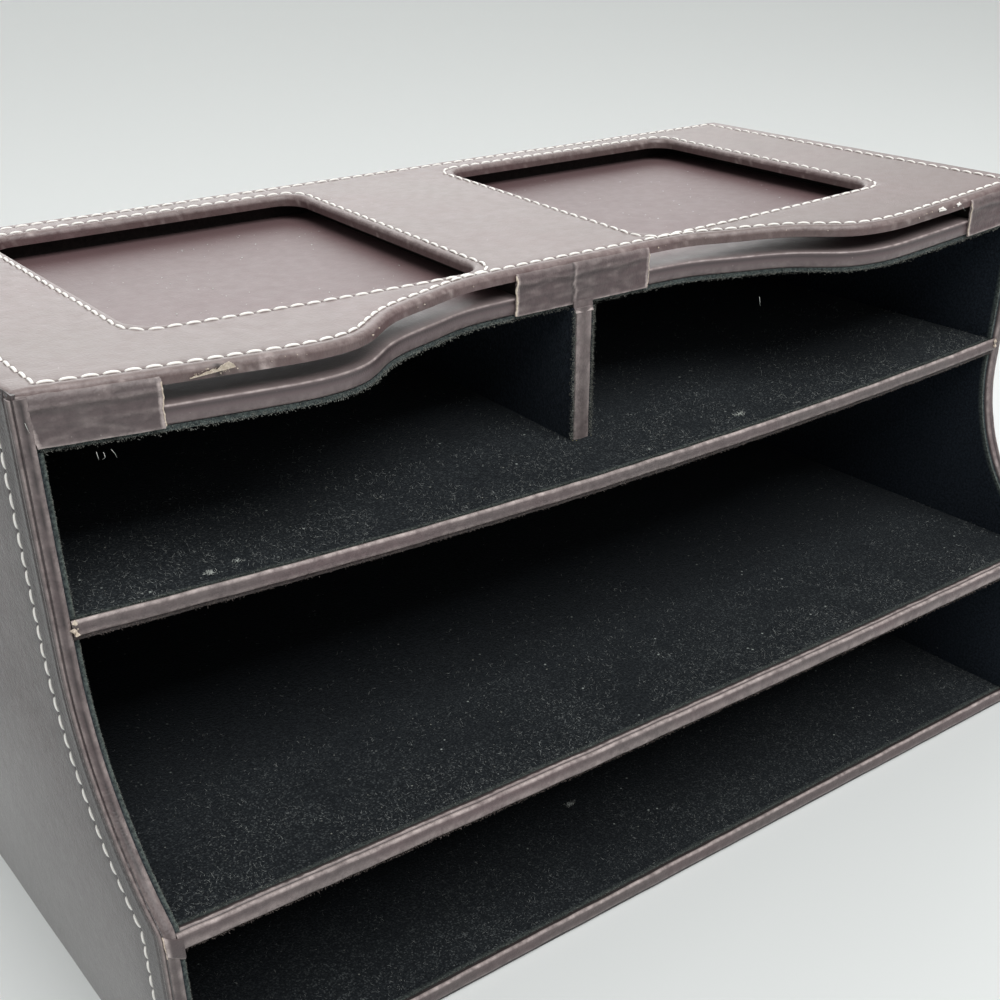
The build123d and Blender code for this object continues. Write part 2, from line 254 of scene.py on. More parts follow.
class Tree:
    """A material under construction."""

    def __init__(self, name):
        self.material = bpy.data.materials.new(name)
        self.material.use_nodes = True
        self.nodes = self.material.node_tree.nodes
        self.shader = self.nodes["Principled BSDF"]
        self.place = self.add("ShaderNodeTexCoord").outputs["Object"]

    def add(self, kind, inputs=None, **settings):
        """A new node. Inputs may be values or the outputs of other nodes."""
        node = self.nodes.new(kind)
        for key, value in settings.items():
            setattr(node, key, value)
        for key, value in (inputs or {}).items():
            self.set(node.inputs[key], value)
        return node

    def set(self, socket, value):
        """Give a socket a value or link it."""
        if isinstance(value, bpy.types.NodeSocket):
            self.material.node_tree.links.new(value, socket)
        else:
            socket.default_value = value

    def noise(self, scale, detail=3.0, roughness=0.55):
        """Cloudy noise from 0 to 1."""
        return self.add("ShaderNodeTexNoise", {"Vector": self.place, "Scale": scale,
                                               "Detail": detail, "Roughness": roughness}
                        ).outputs["Fac"]

    def cells(self, scale):
        """Distance to the middle of the nearest cell of a random tiling."""
        return self.add("ShaderNodeTexVoronoi", {"Vector": self.place, "Scale": scale}
                        ).outputs["Distance"]

    def ramp(self, value, low, high, start=0.0, end=1.0):
        """Move a value from the range low..high to start..end, clamped."""
        return self.add("ShaderNodeMapRange", {"Value": value, "From Min": low, "From Max": high,
                                               "To Min": start, "To Max": end}
                        ).outputs["Result"]

    def math(self, operation, a, b=0.0):
        """One arithmetic step."""
        return self.add("ShaderNodeMath", {0: a, 1: b}, operation=operation).outputs[0]

    def mix(self, factor, a, b):
        """Mix two colours."""
        node = self.add("ShaderNodeMix", data_type="RGBA")
        self.set(node.inputs[0], factor)
        self.set(node.inputs[6], a)
        self.set(node.inputs[7], b)
        return node.outputs[2]

    def attribute(self, name):
        """A number painted on the mesh."""
        return self.add("ShaderNodeAttribute", attribute_name=name).outputs["Fac"]

    def bump(self, height, distance, strength):
        """Tilt the surface by a height pattern, with distance in metres."""
        return self.add("ShaderNodeBump", {"Height": height, "Distance": distance,
                                           "Strength": strength}).outputs["Normal"]

    def finish(self, **inputs):
        """Connect or set inputs of the shader, with underscores for spaces."""
        for key, value in inputs.items():
            self.set(self.shader.inputs[key.replace("_", " ")], value)
        return self.material


def srgb(red, green, blue):
    """A colour given as 0-255 screen values, as linear light."""
    linear = [c / 255 / 12.92 if c <= 10 else ((c / 255 + 0.055) / 1.055) ** 2.4
              for c in (red, green, blue)]
    return (*linear, 1.0)


print("helper calls:", [name for name in vars(Tree) if not name.startswith("_")])

# %% [markdown]
# ## Leather
# The skin is a smooth dark brown leather with a burgundy tint and a fine grain. Its upward faces hold
# a thin pale film, partly dust and partly a painted sheen of the bright room, and its rolled edges are
# rubbed. The film can be told from the face's direction, but only the maker of a mesh knows its edges.
# So the meshes carry painted numbers: wear, which also paints highlights along arrises and ridges,
# painted shade for needle holes, creases, laps and gaps, with a few dark marks, and dust where the
# leather has faded. The sides also get a painted reflection of the pale table, strongest at their foot.

# %% Leather material
GRAIN_SHADE = srgb(52, 44, 45)
TABLE_REFLECTION = srgb(170, 168, 168)
TABLE_REFLECTION_HEIGHT = 0.085
FADED = srgb(92, 82, 83)
RUBBED_AND_HIGHLIGHT = srgb(206, 192, 188)
DUST_AND_SHEEN_FILM = srgb(190, 176, 171)
PALE_SPECK = srgb(222, 218, 212)
PAINTED_SHADE = srgb(20, 16, 17)


def leather(name, brown, burgundy, roughness, dust, grain=1.0, mottling=1.0, table_reflection_amount=0.0):
    """Leather with grain, mottling, wear, dust and painted highlights, shade, sheen and reflection."""
    tree = Tree(name)
    mottle = tree.math("MULTIPLY", tree.ramp(tree.noise(22, 4), 0.38, 0.68), mottling)
    colour = tree.mix(mottle, srgb(*brown), srgb(*burgundy))
    shade = tree.ramp(tree.noise(520, 5, 0.7), 0.36, 0.64)
    colour = tree.mix(tree.math("MULTIPLY", shade, 0.22 * grain), colour, GRAIN_SHADE)
    above_floor = tree.add("ShaderNodeSeparateXYZ", {0: tree.place}).outputs["Z"]
    # Painted reflection of the pale table: the sides turn pale grey below 85 mm, most at their foot.
    colour = tree.mix(tree.ramp(above_floor, TABLE_REFLECTION_HEIGHT, 0.0, 0.0, table_reflection_amount), colour, TABLE_REFLECTION)
    colour = tree.mix(tree.math("MULTIPLY", tree.attribute("dust"), 0.8), colour, FADED)
    # The wear number is partly rubbed wear and partly a painted highlight along arrises and ridges.
    wear = tree.attribute("wear")
    streaks = tree.ramp(tree.noise(420, 4, 0.65), 0.34, 0.66)
    rubbed_and_highlight = tree.math("MULTIPLY", wear, tree.ramp(streaks, 0, 1, 0.3, 1.0))
    colour = tree.mix(rubbed_and_highlight, colour, RUBBED_AND_HIGHLIGHT)
    up = tree.add("ShaderNodeSeparateXYZ",
                  {0: tree.add("ShaderNodeNewGeometry").outputs["Normal"]}).outputs["Z"]
    # The pale film on upward faces is partly dust and partly a painted sheen of the bright room.
    dust_and_sheen = tree.math("MULTIPLY", tree.ramp(up, 0.5, 1.0, 0.0, dust),
                     tree.ramp(tree.noise(30, 4), 0.3, 0.7, 0.88, 1.0))
    colour = tree.mix(dust_and_sheen, colour, DUST_AND_SHEEN_FILM)
    specks = tree.ramp(tree.cells(420), 0.075, 0.04)
    chosen = tree.ramp(tree.noise(90, 1), 0.57, 0.63)
    specks = tree.math("MULTIPLY", tree.math("MULTIPLY", specks, chosen),
                       tree.ramp(up, 0, .8, 0.25, 1.0))
    colour = tree.mix(tree.math("MULTIPLY", specks, 0.6), colour, PALE_SPECK)
    # Painted shade: needle holes, creases, grooves, laps and gaps are darkened, with a few dark marks.
    pit = tree.attribute("pit")
    colour = tree.mix(pit, colour, PAINTED_SHADE)
    pores = tree.ramp(tree.cells(1500), 0.0, 0.55)
    wrinkles = tree.noise(700, 4, 0.6)
    height = tree.math("ADD", tree.math("MULTIPLY", pores, 0.5), wrinkles)
    normal = tree.bump(height, 0.00012 * grain, 0.6)
    rough = tree.math("ADD", tree.ramp(tree.noise(300, 4), 0.3, 0.7, roughness - .03,
                                       roughness + .04), tree.math("MULTIPLY", dust_and_sheen, 0.2))
    return tree.finish(Base_Color=colour, Roughness=rough, Normal=normal, Specular_IOR_Level=0.5)


top_leather_finish = leather("top_leather", (82, 66, 64), (88, 63, 65), 0.40, 0.24)
side_leather_finish = leather("side_leather", (74, 62, 62), (78, 61, 62), 0.36, 0.0, 2.6, 0.5, 0.75)
back_leather_finish = leather("back_leather", (78, 67, 67), (82, 66, 67), 0.42, 0.0, 1.6, 0.5)
edge_leather_finish = leather("edge_leather", (84, 75, 75), (90, 73, 75), 0.5, 0.15, 1.8)
pocket_leather_finish = leather("pocket_leather", (84, 56, 60), (90, 52, 59), 0.44, 0.14, 0.7, 0.3)
print("leather nodes:", len(top_leather_finish.node_tree.nodes))

# %% [markdown]
# ## Velvet
# Velvet is a pile of short fibres. It swallows light when seen along the pile and shows a pale rim
# where the light grazes it. Millions of real hairs would be far too heavy, so the shader's sheen makes
# that rim, noise makes the uneven pile, and only the loosest hairs are modelled later. The painted
# dust says where flecks lie, and the painted wear number where the pile is rubbed grey. The walls and
# ceilings, which sit in shade, get a copy with a lighter base: painted fill light.
# `dust` says where flecks lie, and `wear` where the pile is rubbed grey.

# %% Velvet material
DUSTY_PILE = srgb(34, 38, 40)
FLECK = srgb(126, 132, 132)
LARGE_FLECK = srgb(190, 198, 192)
WORN_PILE = srgb(122, 132, 124)


def velvet(name, deep, nap, lint):
    """Black velvet: uneven nap, a grazing sheen and lint, most of it where `dust` is painted."""
    tree = Tree(name)
    pile = tree.noise(1300, 3, 0.75)
    dusty = tree.attribute("dust")
    brushed = tree.ramp(tree.noise(38, 5, 0.65), 0.32, 0.68, 0.35, 1.0)
    dusty = tree.math("MULTIPLY", dusty, brushed)
    base = tree.mix(tree.ramp(pile, 0.42, 0.64), srgb(*deep), srgb(*nap))
    base = tree.mix(tree.math("MULTIPLY", dusty, 0.4), base, DUSTY_PILE)
    flecks = tree.ramp(tree.cells(1500), 0.5, 0.2)
    flecks = tree.math("MULTIPLY", flecks, tree.ramp(tree.noise(600, 3, 0.7), 0.36, 0.7))
    base = tree.mix(tree.math("MULTIPLY", tree.math("MULTIPLY", flecks, dusty), lint), base, FLECK)
    big = tree.math("MULTIPLY", tree.ramp(tree.cells(230), 0.09, 0.05),
                    tree.ramp(tree.noise(60, 1), 0.52, 0.6))
    base = tree.mix(tree.math("MULTIPLY", big, tree.ramp(dusty, 0, 1, 0.15, 1.0)), base,
                    LARGE_FLECK)
    worn = tree.attribute("wear")
    base = tree.mix(tree.math("MULTIPLY", worn, tree.ramp(pile, 0.35, 0.65, 0.2, 1.0)), base,
                    WORN_PILE)
    normal = tree.bump(pile, 0.0005, 0.9)
    tree.shader.inputs["Sheen Weight"].default_value = 0.18
    tree.shader.inputs["Sheen Roughness"].default_value = 0.45
    tree.shader.inputs["Sheen Tint"].default_value = srgb(150, 158, 166)
    return tree.finish(Base_Color=base, Roughness=0.95, Normal=normal, Specular_IOR_Level=0.1)


# Painted fill light: walls and ceilings sit in shade, so their velvet has a lighter base than the
# floors'.
lifted_velvet_finish = velvet("velvet", (20, 26, 33), (38, 45, 54), 0.3)
dusty_velvet_finish = velvet("dusty_velvet", (9, 12, 16), (30, 34, 37), 0.5)
print("velvet nodes:", len(lifted_velvet_finish.node_tree.nodes))

# %% [markdown]
# ## Thread, felt, board and fibres
# The thread is a waxed off-white cotton, the base is covered in plain black felt, and the boards are
# given a dark finish as painted shade, since they are seen only deep in the photo slot and in gaps. Cut
# leather, raw velvet, lint and dried glue each have a colour of their own, though the pale raw velvet
# and loose nap are partly a painted sheen of black fibres in the light. All are matt and uneven in the
# same
# way, so one recipe makes them: two close colours mixed by noise, with a slight bump.

# %% Fibrous materials


def fibrous(name, dark, pale, scale, roughness, depth):
    """A plain matt fibre finish: two close colours, mixed by noise."""
    tree = Tree(name)
    fibres = tree.noise(scale, 4, 0.7)
    colour = tree.mix(tree.ramp(fibres, 0.3, 0.7), srgb(*dark), srgb(*pale))
    normal = tree.bump(fibres, depth, 0.7)
    return tree.finish(Base_Color=colour, Roughness=roughness, Normal=normal,
                       Specular_IOR_Level=0.2)


thread_finish = fibrous("thread", (244, 239, 232), (255, 254, 250), 2600, 0.7, 0.0001)
felt_finish = fibrous("base_felt", (20, 20, 21), (38, 38, 39), 1400, 0.95, 0.0004)
# Painted shade: the boards are dark, so gaps and the slot read as shadow.
board_shade_finish = fibrous("board_painted_shade", (28, 24, 24), (46, 40, 39), 900, 0.85, 0.0002)
core_finish = fibrous("leather_core", (176, 160, 142), (226, 214, 200), 1500, 0.8, 0.0002)
# Raw velvet fibres, lint crumbs and loose nap are pale partly as painted sheen on black fibres.
fuzz_and_sheen_finish = fibrous("raw_velvet_and_sheen", (52, 54, 52), (152, 154, 147), 700, 0.9, 0.0001)
nap_sheen_finish = fibrous("loose_nap_sheen", (66, 70, 71), (164, 168, 165), 300, 0.9, 0.0001)
lint_finish = fibrous("lint", (176, 182, 176), (226, 230, 224), 900, 0.9, 0.0001)
glue_finish = fibrous("dried_glue", (150, 138, 84), (196, 184, 128), 700, 0.5, 0.0001)
under_fuzz_finish = fibrous("raw_leather", (58, 52, 50), (104, 96, 92), 900, 0.9, 0.0001)
print("finishes:", len(bpy.data.materials))

# %% [markdown]
# ## Turning points into pieces
# Every skin below is a list of points and faces. Modifiers could thicken and round simple shapes, but
# worn leather needs each point placed and painted, so meshes are made directly. `add_piece` scales
# them, gives them their finish, hides the construction nodes that the piece stands for and hangs it
# on the root.

# %% Piece helper


def add_piece(name, points, faces, finish, nodes=(), wear=None, pit=None, dust=None, sharp=50):
    """Make a mesh object from points in millimetres. Edges steeper than sharp degrees stay crisp."""
    mesh = bpy.data.meshes.new(name)
    mesh.from_pydata(np.asarray(points) * MM, [], faces)
    mesh.update()
    for label, values in (("wear", wear), ("pit", pit), ("dust", dust)):
        if values is not None:
            painted = mesh.attributes.new(label, "FLOAT", "POINT")
            painted.data.foreach_set("value", np.asarray(values, np.float32).ravel())
    mesh.materials.append(finish)
    mesh.shade_smooth()
    mesh.set_sharp_from_angle(angle=math.radians(sharp))
    piece = bpy.data.objects.new(name, mesh)
    scene.collection.objects.link(piece)
    if nodes:
        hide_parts(*nodes)
    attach(piece, "root")
    print(f"{name}: {len(mesh.vertices)} points, {len(mesh.polygons)} faces")


# %% [markdown]
# ## Bars, sheets and unevenness
# Two kinds of mesh make nearly everything: a bar swept through equal sections, for folded edges, and a
# slab between two grids, for sheets of leather and velvet. Both are closed, as real sheets are, so no
# stray or open face is left. Smooth noise then moves the points a little, as glue and fingers do.

# %% Bar, slab and waves


def quads(rows, columns, start=0, closed=False):
    """Faces of a grid of points, row by row. A closed grid joins its last column to its first."""
    faces = []
    for row in range(rows - 1):
        for column in range(columns if closed else columns - 1):
            after = (column + 1) % columns
            here, there = start + row * columns, start + (row + 1) * columns
            faces.append((here + column, here + after, there + after, there + column))
    return faces


def swept(sections):
    """Points and faces of a closed bar through equal closed sections, with flat ends."""
    sections = np.asarray(sections, float)
    rows, columns = sections.shape[:2]
    faces = quads(rows, columns, closed=True)
    faces.append(tuple(reversed(range(columns))))
    faces.append(tuple(range((rows - 1) * columns, rows * columns)))
    return sections.reshape(-1, 3), faces


def slab(upper, under):
    """Points and faces of a sheet between two equal grids of points."""
    upper, under = np.asarray(upper, float), np.asarray(under, float)
    rows, columns = upper.shape[:2]
    count = rows * columns
    faces = quads(rows, columns)
    faces += [tuple(reversed(face)) for face in quads(rows, columns, count)]
    rim = [row * columns for row in range(rows)]
    rim += [(rows - 1) * columns + column for column in range(1, columns)]
    rim += [row * columns + columns - 1 for row in range(rows - 2, -1, -1)]
    rim += [column for column in range(columns - 2, 0, -1)]
    for here, there in zip(rim, rim[1:] + rim[:1]):
        faces.append((here, there, count + there, count + here))
    return np.concatenate([upper.reshape(-1, 3), under.reshape(-1, 3)]), faces


def waves(points, size, seed=0.0):
    """Soft random height from -1 to 1 at each point, for hand-made unevenness."""
    return np.array([noise.noise(Vector((p[0] / size + seed, p[1] / size, p[2] / size)))
                     for p in np.asarray(points).reshape(-1, 3)])


print("smallest bar:", len(swept(np.zeros((2, 3, 3)))[1]), "faces")

# %% [markdown]
# ## The seams of the top
# The top's leather is one skin with two windows. A row of stitches runs round its rim and round each
# window. The seams are drawn first, as lines in plan, because the skin is pressed down along them and
# the thread lies in them. Drawing them later would mean finding the pressed line again.

# %% Seam lines
STITCH = 4.2
SEAM_X = 148.5
SEAM_BACK = 78.0
SEAM_IN = 3.0
WINDOW_SEAM = (24.5, 120.0, -25.5, 72.0)
WINDOW_ROUND = 7.0
SEAM_SPACING = 1.2


def rounded_loop(left, right, front, back, radius):
    """Closed rounded rectangle in plan, anticlockwise, without repeating its first point."""
    corners = ((right - radius, front + radius, -90), (right - radius, back - radius, 0),
               (left + radius, back - radius, 90), (left + radius, front + radius, 180))
    points = []
    for centre_x, centre_y, start in corners:
        for angle in np.radians(np.linspace(start, start + 90, 16)):
            points.append((centre_x + radius * math.cos(angle),
                           centre_y + radius * math.sin(angle)))
    points.append(points[0])
    return resample(np.array(points), SEAM_SPACING)[:-1]


def window_loop(side, grow, radius):
    """The seam rectangle of one window, moved outward by grow, with its corner radius."""
    near, far, front, back = WINDOW_SEAM
    loop = rounded_loop(near - grow, far + grow, front - grow, back + grow, radius)
    return loop if side > 0 else loop[::-1] * (-1, 1)


def front_seam(setback, reach, spacing):
    """The curly front edge moved back square to itself, between two places across the front."""
    x = np.arange(-HALF_WIDTH, HALF_WIDTH + 0.1, 0.5)
    line = np.stack([x, curly(x)], axis=1)
    along = tangents(line)
    line = line + setback * np.stack([-along[:, 1], along[:, 0]], axis=1)
    line = line[np.abs(line[:, 0]) <= reach]
    return resample(line, spacing)


front_line = front_seam(SEAM_IN, SEAM_X, SEAM_SPACING)
seams = {
    "front": front_line,
    "back": resample(np.array([(SEAM_X, SEAM_BACK), (-SEAM_X, SEAM_BACK)]), SEAM_SPACING),
    "left": resample(np.array([(-SEAM_X, SEAM_BACK), front_line[0]]), SEAM_SPACING),
    "right": resample(np.array([(SEAM_X, SEAM_BACK), front_line[-1]]), SEAM_SPACING),
    "left_window": window_loop(-1, 0, WINDOW_ROUND),
    "right_window": window_loop(1, 0, WINDOW_ROUND),
}
for name, line in seams.items():
    print("seam", name, len(line))

# %% [markdown]
# ## Needle holes
# The needle went through every 4.2 mm, and each hole is a small pit in the leather. A bump map could
# fake the pits, but they would vanish in the mesh that is exported. So the holes are places along the
# seam, found once, and both the leather's pits and the ends of the threads use them.

# %% Needle holes


def stitch_ends(line, closed):
    """Needle holes along a seam, the seam's points, and how far along it points and holes lie."""
    path = np.concatenate([line, line[:1]]) if closed else line
    steps = np.linalg.norm(np.diff(path, axis=0), axis=1)
    length = np.concatenate([[0], np.cumsum(steps)])
    count = int(round(length[-1] / STITCH))
    places = np.linspace(0, length[-1], count + 1)
    holes = np.stack([np.interp(places, length, path[:, i]) for i in range(path.shape[1])], axis=1)
    return holes, path, length, places


print("holes along the front:", len(stitch_ends(front_line, False)[0]))

# %% [markdown]
# ## Triangles over a flat outline
# A sheet of leather with windows and needle holes is no regular grid. Cutting holes with a boolean
# leaves long thin faces that shade badly. A constrained triangulation keeps every edge of the outline
# and joins all inner points with well-shaped triangles. Faces outside the outline or inside a window
# are dropped.

# %% Triangulate an outline


def in_outline(points, outline):
    """Which points lie inside a closed outline, by counting crossings."""
    x, y = points[:, 0], points[:, 1]
    inside = np.zeros(len(points), bool)
    for (x1, y1), (x2, y2) in zip(outline, np.roll(outline, -1, axis=0)):
        crosses = ((y1 > y) != (y2 > y))
        if y1 != y2:
            inside ^= crosses & (x < (x2 - x1) * (y - y1) / (y2 - y1) + x1)
    return inside


def triangulated(outline, holes, inner):
    """Triangles over an outline with holes, through extra inner points."""
    loops = [outline] + list(holes)
    points = np.concatenate(loops + [inner])
    edges = []
    start = 0
    for loop in loops:
        count = len(loop)
        edges += [(start + i, start + (i + 1) % count) for i in range(count)]
        start += count
    result = delaunay_2d_cdt([Vector(p) for p in points], edges, [], 0, 1e-4, False)
    flat = np.array([tuple(v) for v in result[0]])
    faces = np.array(result[2])
    middles = flat[faces].mean(axis=1)
    keep = in_outline(middles, outline)
    for hole in holes:
        keep &= ~in_outline(middles, hole)
    return flat, faces[keep]


SQUARE = np.array([(0.0, 0.0), (1.0, 0.0), (1.0, 1.0), (0.0, 1.0)])
print("a square gives", len(triangulated(SQUARE, [], np.array([(0.5, 0.5)]))[1]), "triangles")

# %% [markdown]
# ## Points where something happens
# The sheet needs close points at seams and pits, and wide ones elsewhere, or it would be far too heavy.
# `seam_points` sets rings round the holes and lines beside the seam, `spread` fills the rest, and
# `clear_of` removes points that crowd the special ones.

# %% Points for a skin


def spread(low, high, spacing, seed):
    """A slightly uneven grid of points over a rectangle."""
    x = np.arange(low[0], high[0], spacing)
    y = np.arange(low[1], high[1], spacing)
    grid = np.stack(np.meshgrid(x, y), axis=-1).reshape(-1, 2)
    return grid + np.random.default_rng(seed).uniform(-0.25, 0.25, grid.shape) * spacing


def clear_of(points, others, gap):
    """The points that keep a gap from the others."""
    keep = np.ones(len(points), bool)
    for i in range(0, len(points), 400):
        part = points[i:i + 400]
        apart = np.linalg.norm(part[:, None] - others[None], axis=2).min(axis=1)
        keep[i:i + 400] = apart > gap
    return points[keep]


SEAM_WIDTH = 0.8
PIT_RING = 0.45


def seam_points(line, closed):
    """Extra points for the skin: a pressed line with a pit at every needle hole."""
    holes, path, length, places = stitch_ends(line, closed)
    around = []
    for hole in holes:
        for angle in np.radians(np.arange(0, 360, 60)):
            around.append(hole + PIT_RING * np.array((math.cos(angle), math.sin(angle))))
    middles = (holes[1:] + holes[:-1]) / 2
    heading = tangents(path)
    normal = np.stack([-heading[:, 1], heading[:, 0]], axis=1)
    beside = np.concatenate([path + SEAM_WIDTH * normal, path - SEAM_WIDTH * normal])
    return holes, np.array(around), middles, beside


print("points for the front seam:", [len(part) for part in seam_points(front_line, False)])

# %% [markdown]
# ## The plan of the top skin
# One sheet of leather covers the top, rolled over the front and down into the two windows. In plan it
# ends where each roll begins. The outline and the two window rims are closed loops, each with normals
# that say which way its roll will turn.

# %% Plan of the top
ROLL = 1.5
ROLL_STEPS = 5
WINDOW_LEDGE = 2.4
RIM_ROUND = 7.0
FRONT_SPACING, RIM_SPACING = 1.4, 3


def plan_outline(setback):
    """Outline of the top in plan, anticlockwise from the front left corner."""
    reach = BOARD_OUT + 0.4 - setback
    front = front_seam(setback, reach, FRONT_SPACING)
    front[0, 0], front[-1, 0] = -reach, reach
    far_corner = (reach, BACK - LEATHER - setback)
    side = resample(np.array([(reach, front[-1, 1]), far_corner]), RIM_SPACING)[1:]
    back = resample(np.array([side[-1], (-reach, side[-1, 1])]), RIM_SPACING)[1:]
    left = resample(np.array([back[-1], front[0]]), RIM_SPACING)[1:-1]
    return np.concatenate([front, side, back, left])


def outward(loop):
    """Unit normals of an anticlockwise loop, pointing away from its inside."""
    ahead = np.roll(loop, -1, axis=0) - np.roll(loop, 1, axis=0)
    ahead /= np.linalg.norm(ahead, axis=1, keepdims=True)
    return np.stack([ahead[:, 1], -ahead[:, 0]], axis=1)


outline = plan_outline(ROLL)
rims = {"outer": (outline, outward(outline))}
for side, name in ((-1, "left_window"), (1, "right_window")):
    loop = window_loop(side, -WINDOW_LEDGE + ROLL, RIM_ROUND + ROLL)
    rims[name] = (loop, -outward(loop))
hole_loops = [rims["left_window"][0], rims["right_window"][0]]
for name, (loop, normals) in rims.items():
    print("rim", name, len(loop), "points")

# %% [markdown]
# ## The flat sheet
# All points come together here, those of the seams first, so that none is lost when crowded ones are
# thinned out. The result is a flat sheet with its triangles, ready to be given heights.

# %% Flat sheet of the top
pits, rings, mids, besides = [], [], [], []
for name, line in seams.items():
    holes, around, middles, beside = seam_points(line, "window" in name)
    pits.append(holes)
    rings.append(around)
    mids.append(middles)
    besides.append(beside)
pits, rings = np.concatenate(pits), np.concatenate(rings)
mids, besides = np.concatenate(mids), np.concatenate(besides)
rings = clear_of(rings, pits, 0.3)
besides = clear_of(besides, np.concatenate([pits, rings]), 0.5)
special = np.concatenate([pits, rings, mids, besides])
low, high = outline.min(axis=0), outline.max(axis=0)
fill = clear_of(spread(low, high, 2.6, 1), np.concatenate([special, outline] + hole_loops), 1.2)
special = clear_of(special, np.concatenate([outline] + hole_loops), 0.25)
inner = np.concatenate([special, fill])
inside = in_outline(inner, outline)
for loop in hole_loops:
    inside &= ~in_outline(inner, loop)
flat, triangles = triangulated(outline, hole_loops, inner[inside])
print("top skin", len(flat), "points", len(triangles), "triangles")

# %% [markdown]
# ## Heights of the top
# Thread pulls the leather down along the seams, and the padding lets it puff up beside them. Sculpting
# would do it by hand, but a height formula by distance from the seam is even along metres of stitching.
# Two sizes of soft noise add the wobble of glued leather, and the sag bends everything.

# %% Heights of the top
SEAM_DEPTH = 0.14
PIT_DEPTH, PIT_WIDTH = 0.35, 0.35
PUFF_HEIGHT, PUFF_PLACE, PUFF_WIDTH = 0.10, 2.0, 1.0
all_lines = np.concatenate(list(seams.values()))


def nearest(points, others):
    """Distance of each point to the nearest of the others."""
    result = np.empty(len(points))
    for i in range(0, len(points), 400):
        part = points[i:i + 400]
        result[i:i + 400] = np.linalg.norm(part[:, None] - others[None], axis=2).min(axis=1)
    return result


def top_height(plan):
    """Height of the top's leather over a plan: sunk, pressed at the seams, puffed beside them."""
    to_seam = nearest(plan, all_lines)
    to_pit = nearest(plan, pits)
    pressed = SEAM_DEPTH * np.exp(-(to_seam / SEAM_WIDTH) ** 2)
    pressed = pressed + PIT_DEPTH * np.exp(-(to_pit / PIT_WIDTH) ** 2)
    puffed = PUFF_HEIGHT * np.exp(-((to_seam - PUFF_PLACE) / PUFF_WIDTH) ** 2)
    uneven = waves(np.column_stack([plan, np.zeros(len(plan))]), 34.0) * 0.16
    uneven += waves(np.column_stack([plan, np.zeros(len(plan))]), 9.0, 7.0) * 0.05
    return TOP - 0.25 - sag(plan[:, 0], plan[:, 1], TOP_SAG) - pressed + puffed + uneven


points = np.column_stack([flat, top_height(flat)])
# Painted shade in the needle holes.
pit_paint = np.exp(-(nearest(flat, pits) / 0.28) ** 2)
wear_paint = np.zeros(len(flat))
faces = [tuple(face) for face in triangles]
for face_index, face in enumerate(faces):
    a, b, c = (points[i][:2] for i in face)
    if (b[0] - a[0]) * (c[1] - a[1]) - (b[1] - a[1]) * (c[0] - a[0]) < 0:
        faces[face_index] = tuple(reversed(face))
print("top from", round(points[:, 2].min(), 2), "to", round(points[:, 2].max(), 2), "mm")

# %% [markdown]
# ## Rolling the edges of the top
# At its rim the leather turns down over the board in a quarter round. The bevel modifier can't follow
# a rim that also sinks, so each rim gets rings of points, stepped out and down, and then a short turn
# inward under the board. The rolls are where hands rub: noise paints wear there, and one spot beside
# the tear is rubbed. Under the torn flap a painted shadow darkens the roll.

# %% Rolled edges of the top
RUBBED_SPOT = -103.0
TORN_SPOT = -113.6
start = 0
for name, (loop, normals) in rims.items():
    count = len(loop)
    tops = points[start:start + count, 2].copy()
    previous = np.arange(start, start + count)
    drop_to = FRAME_BOTTOM - sag(loop[:, 0], loop[:, 1], TOP_SAG)
    stages = [(ROLL * math.sin(a), ROLL * (1 - math.cos(a)))
              for a in np.radians(np.linspace(0, 90, ROLL_STEPS + 1)[1:])]
    for number, (out, fall) in enumerate(stages + [(ROLL, None), (ROLL - 1.2, None)]):
        ring_plan = loop + out * normals
        if fall is None:
            heights = drop_to + (0.25 if number == ROLL_STEPS else 0.0)
        else:
            heights = tops - fall
        ring = np.column_stack([ring_plan, heights])
        first = len(points)
        points = np.concatenate([points, ring])
        rub = np.clip(waves(ring, 1.5, 21.0) * 2.4 - 0.9, 0, 1)
        rub += np.exp(-((ring[:, 0] - RUBBED_SPOT) / 1.3) ** 2) * (ring[:, 1] < -30)
        worn = (0.28 if 1 <= number <= 3 else 0.08) + rub * 0.5
        # Painted shadow under the torn flap.
        tear_shadow = 0.8 * np.exp(-((ring[:, 0] - TORN_SPOT) / 0.9) ** 2) * (ring[:, 1] < 0) * (number > 1)
        wear_paint = np.concatenate([wear_paint, worn])
        pit_paint = np.concatenate([pit_paint, np.clip(tear_shadow, 0, 1)])
        for i in range(count):
            j = (i + 1) % count
            quad = (previous[i], first + i, first + j, previous[j])
            faces.append(quad if name == "outer" else quad[::-1])
        previous = np.arange(first, first + count)
    start += count
add_piece("top_leather", points, faces, top_leather_finish, ["top_frame_cover"],
          wear_paint, pit_paint)

# %% [markdown]
# ## Thread
# A lock stitch shows as a row of short arched threads, each diving into a needle hole at both ends. A
# dashed line in the leather's colour would look printed on. Here each stitch is a small tapered tube,
# a little slanted and uneven, and the stitches of one seam are one piece.

# %% Stitches
THREAD_RADIUS = 0.43
HOLE_GAP = 0.46
chance = np.random.default_rng(5)


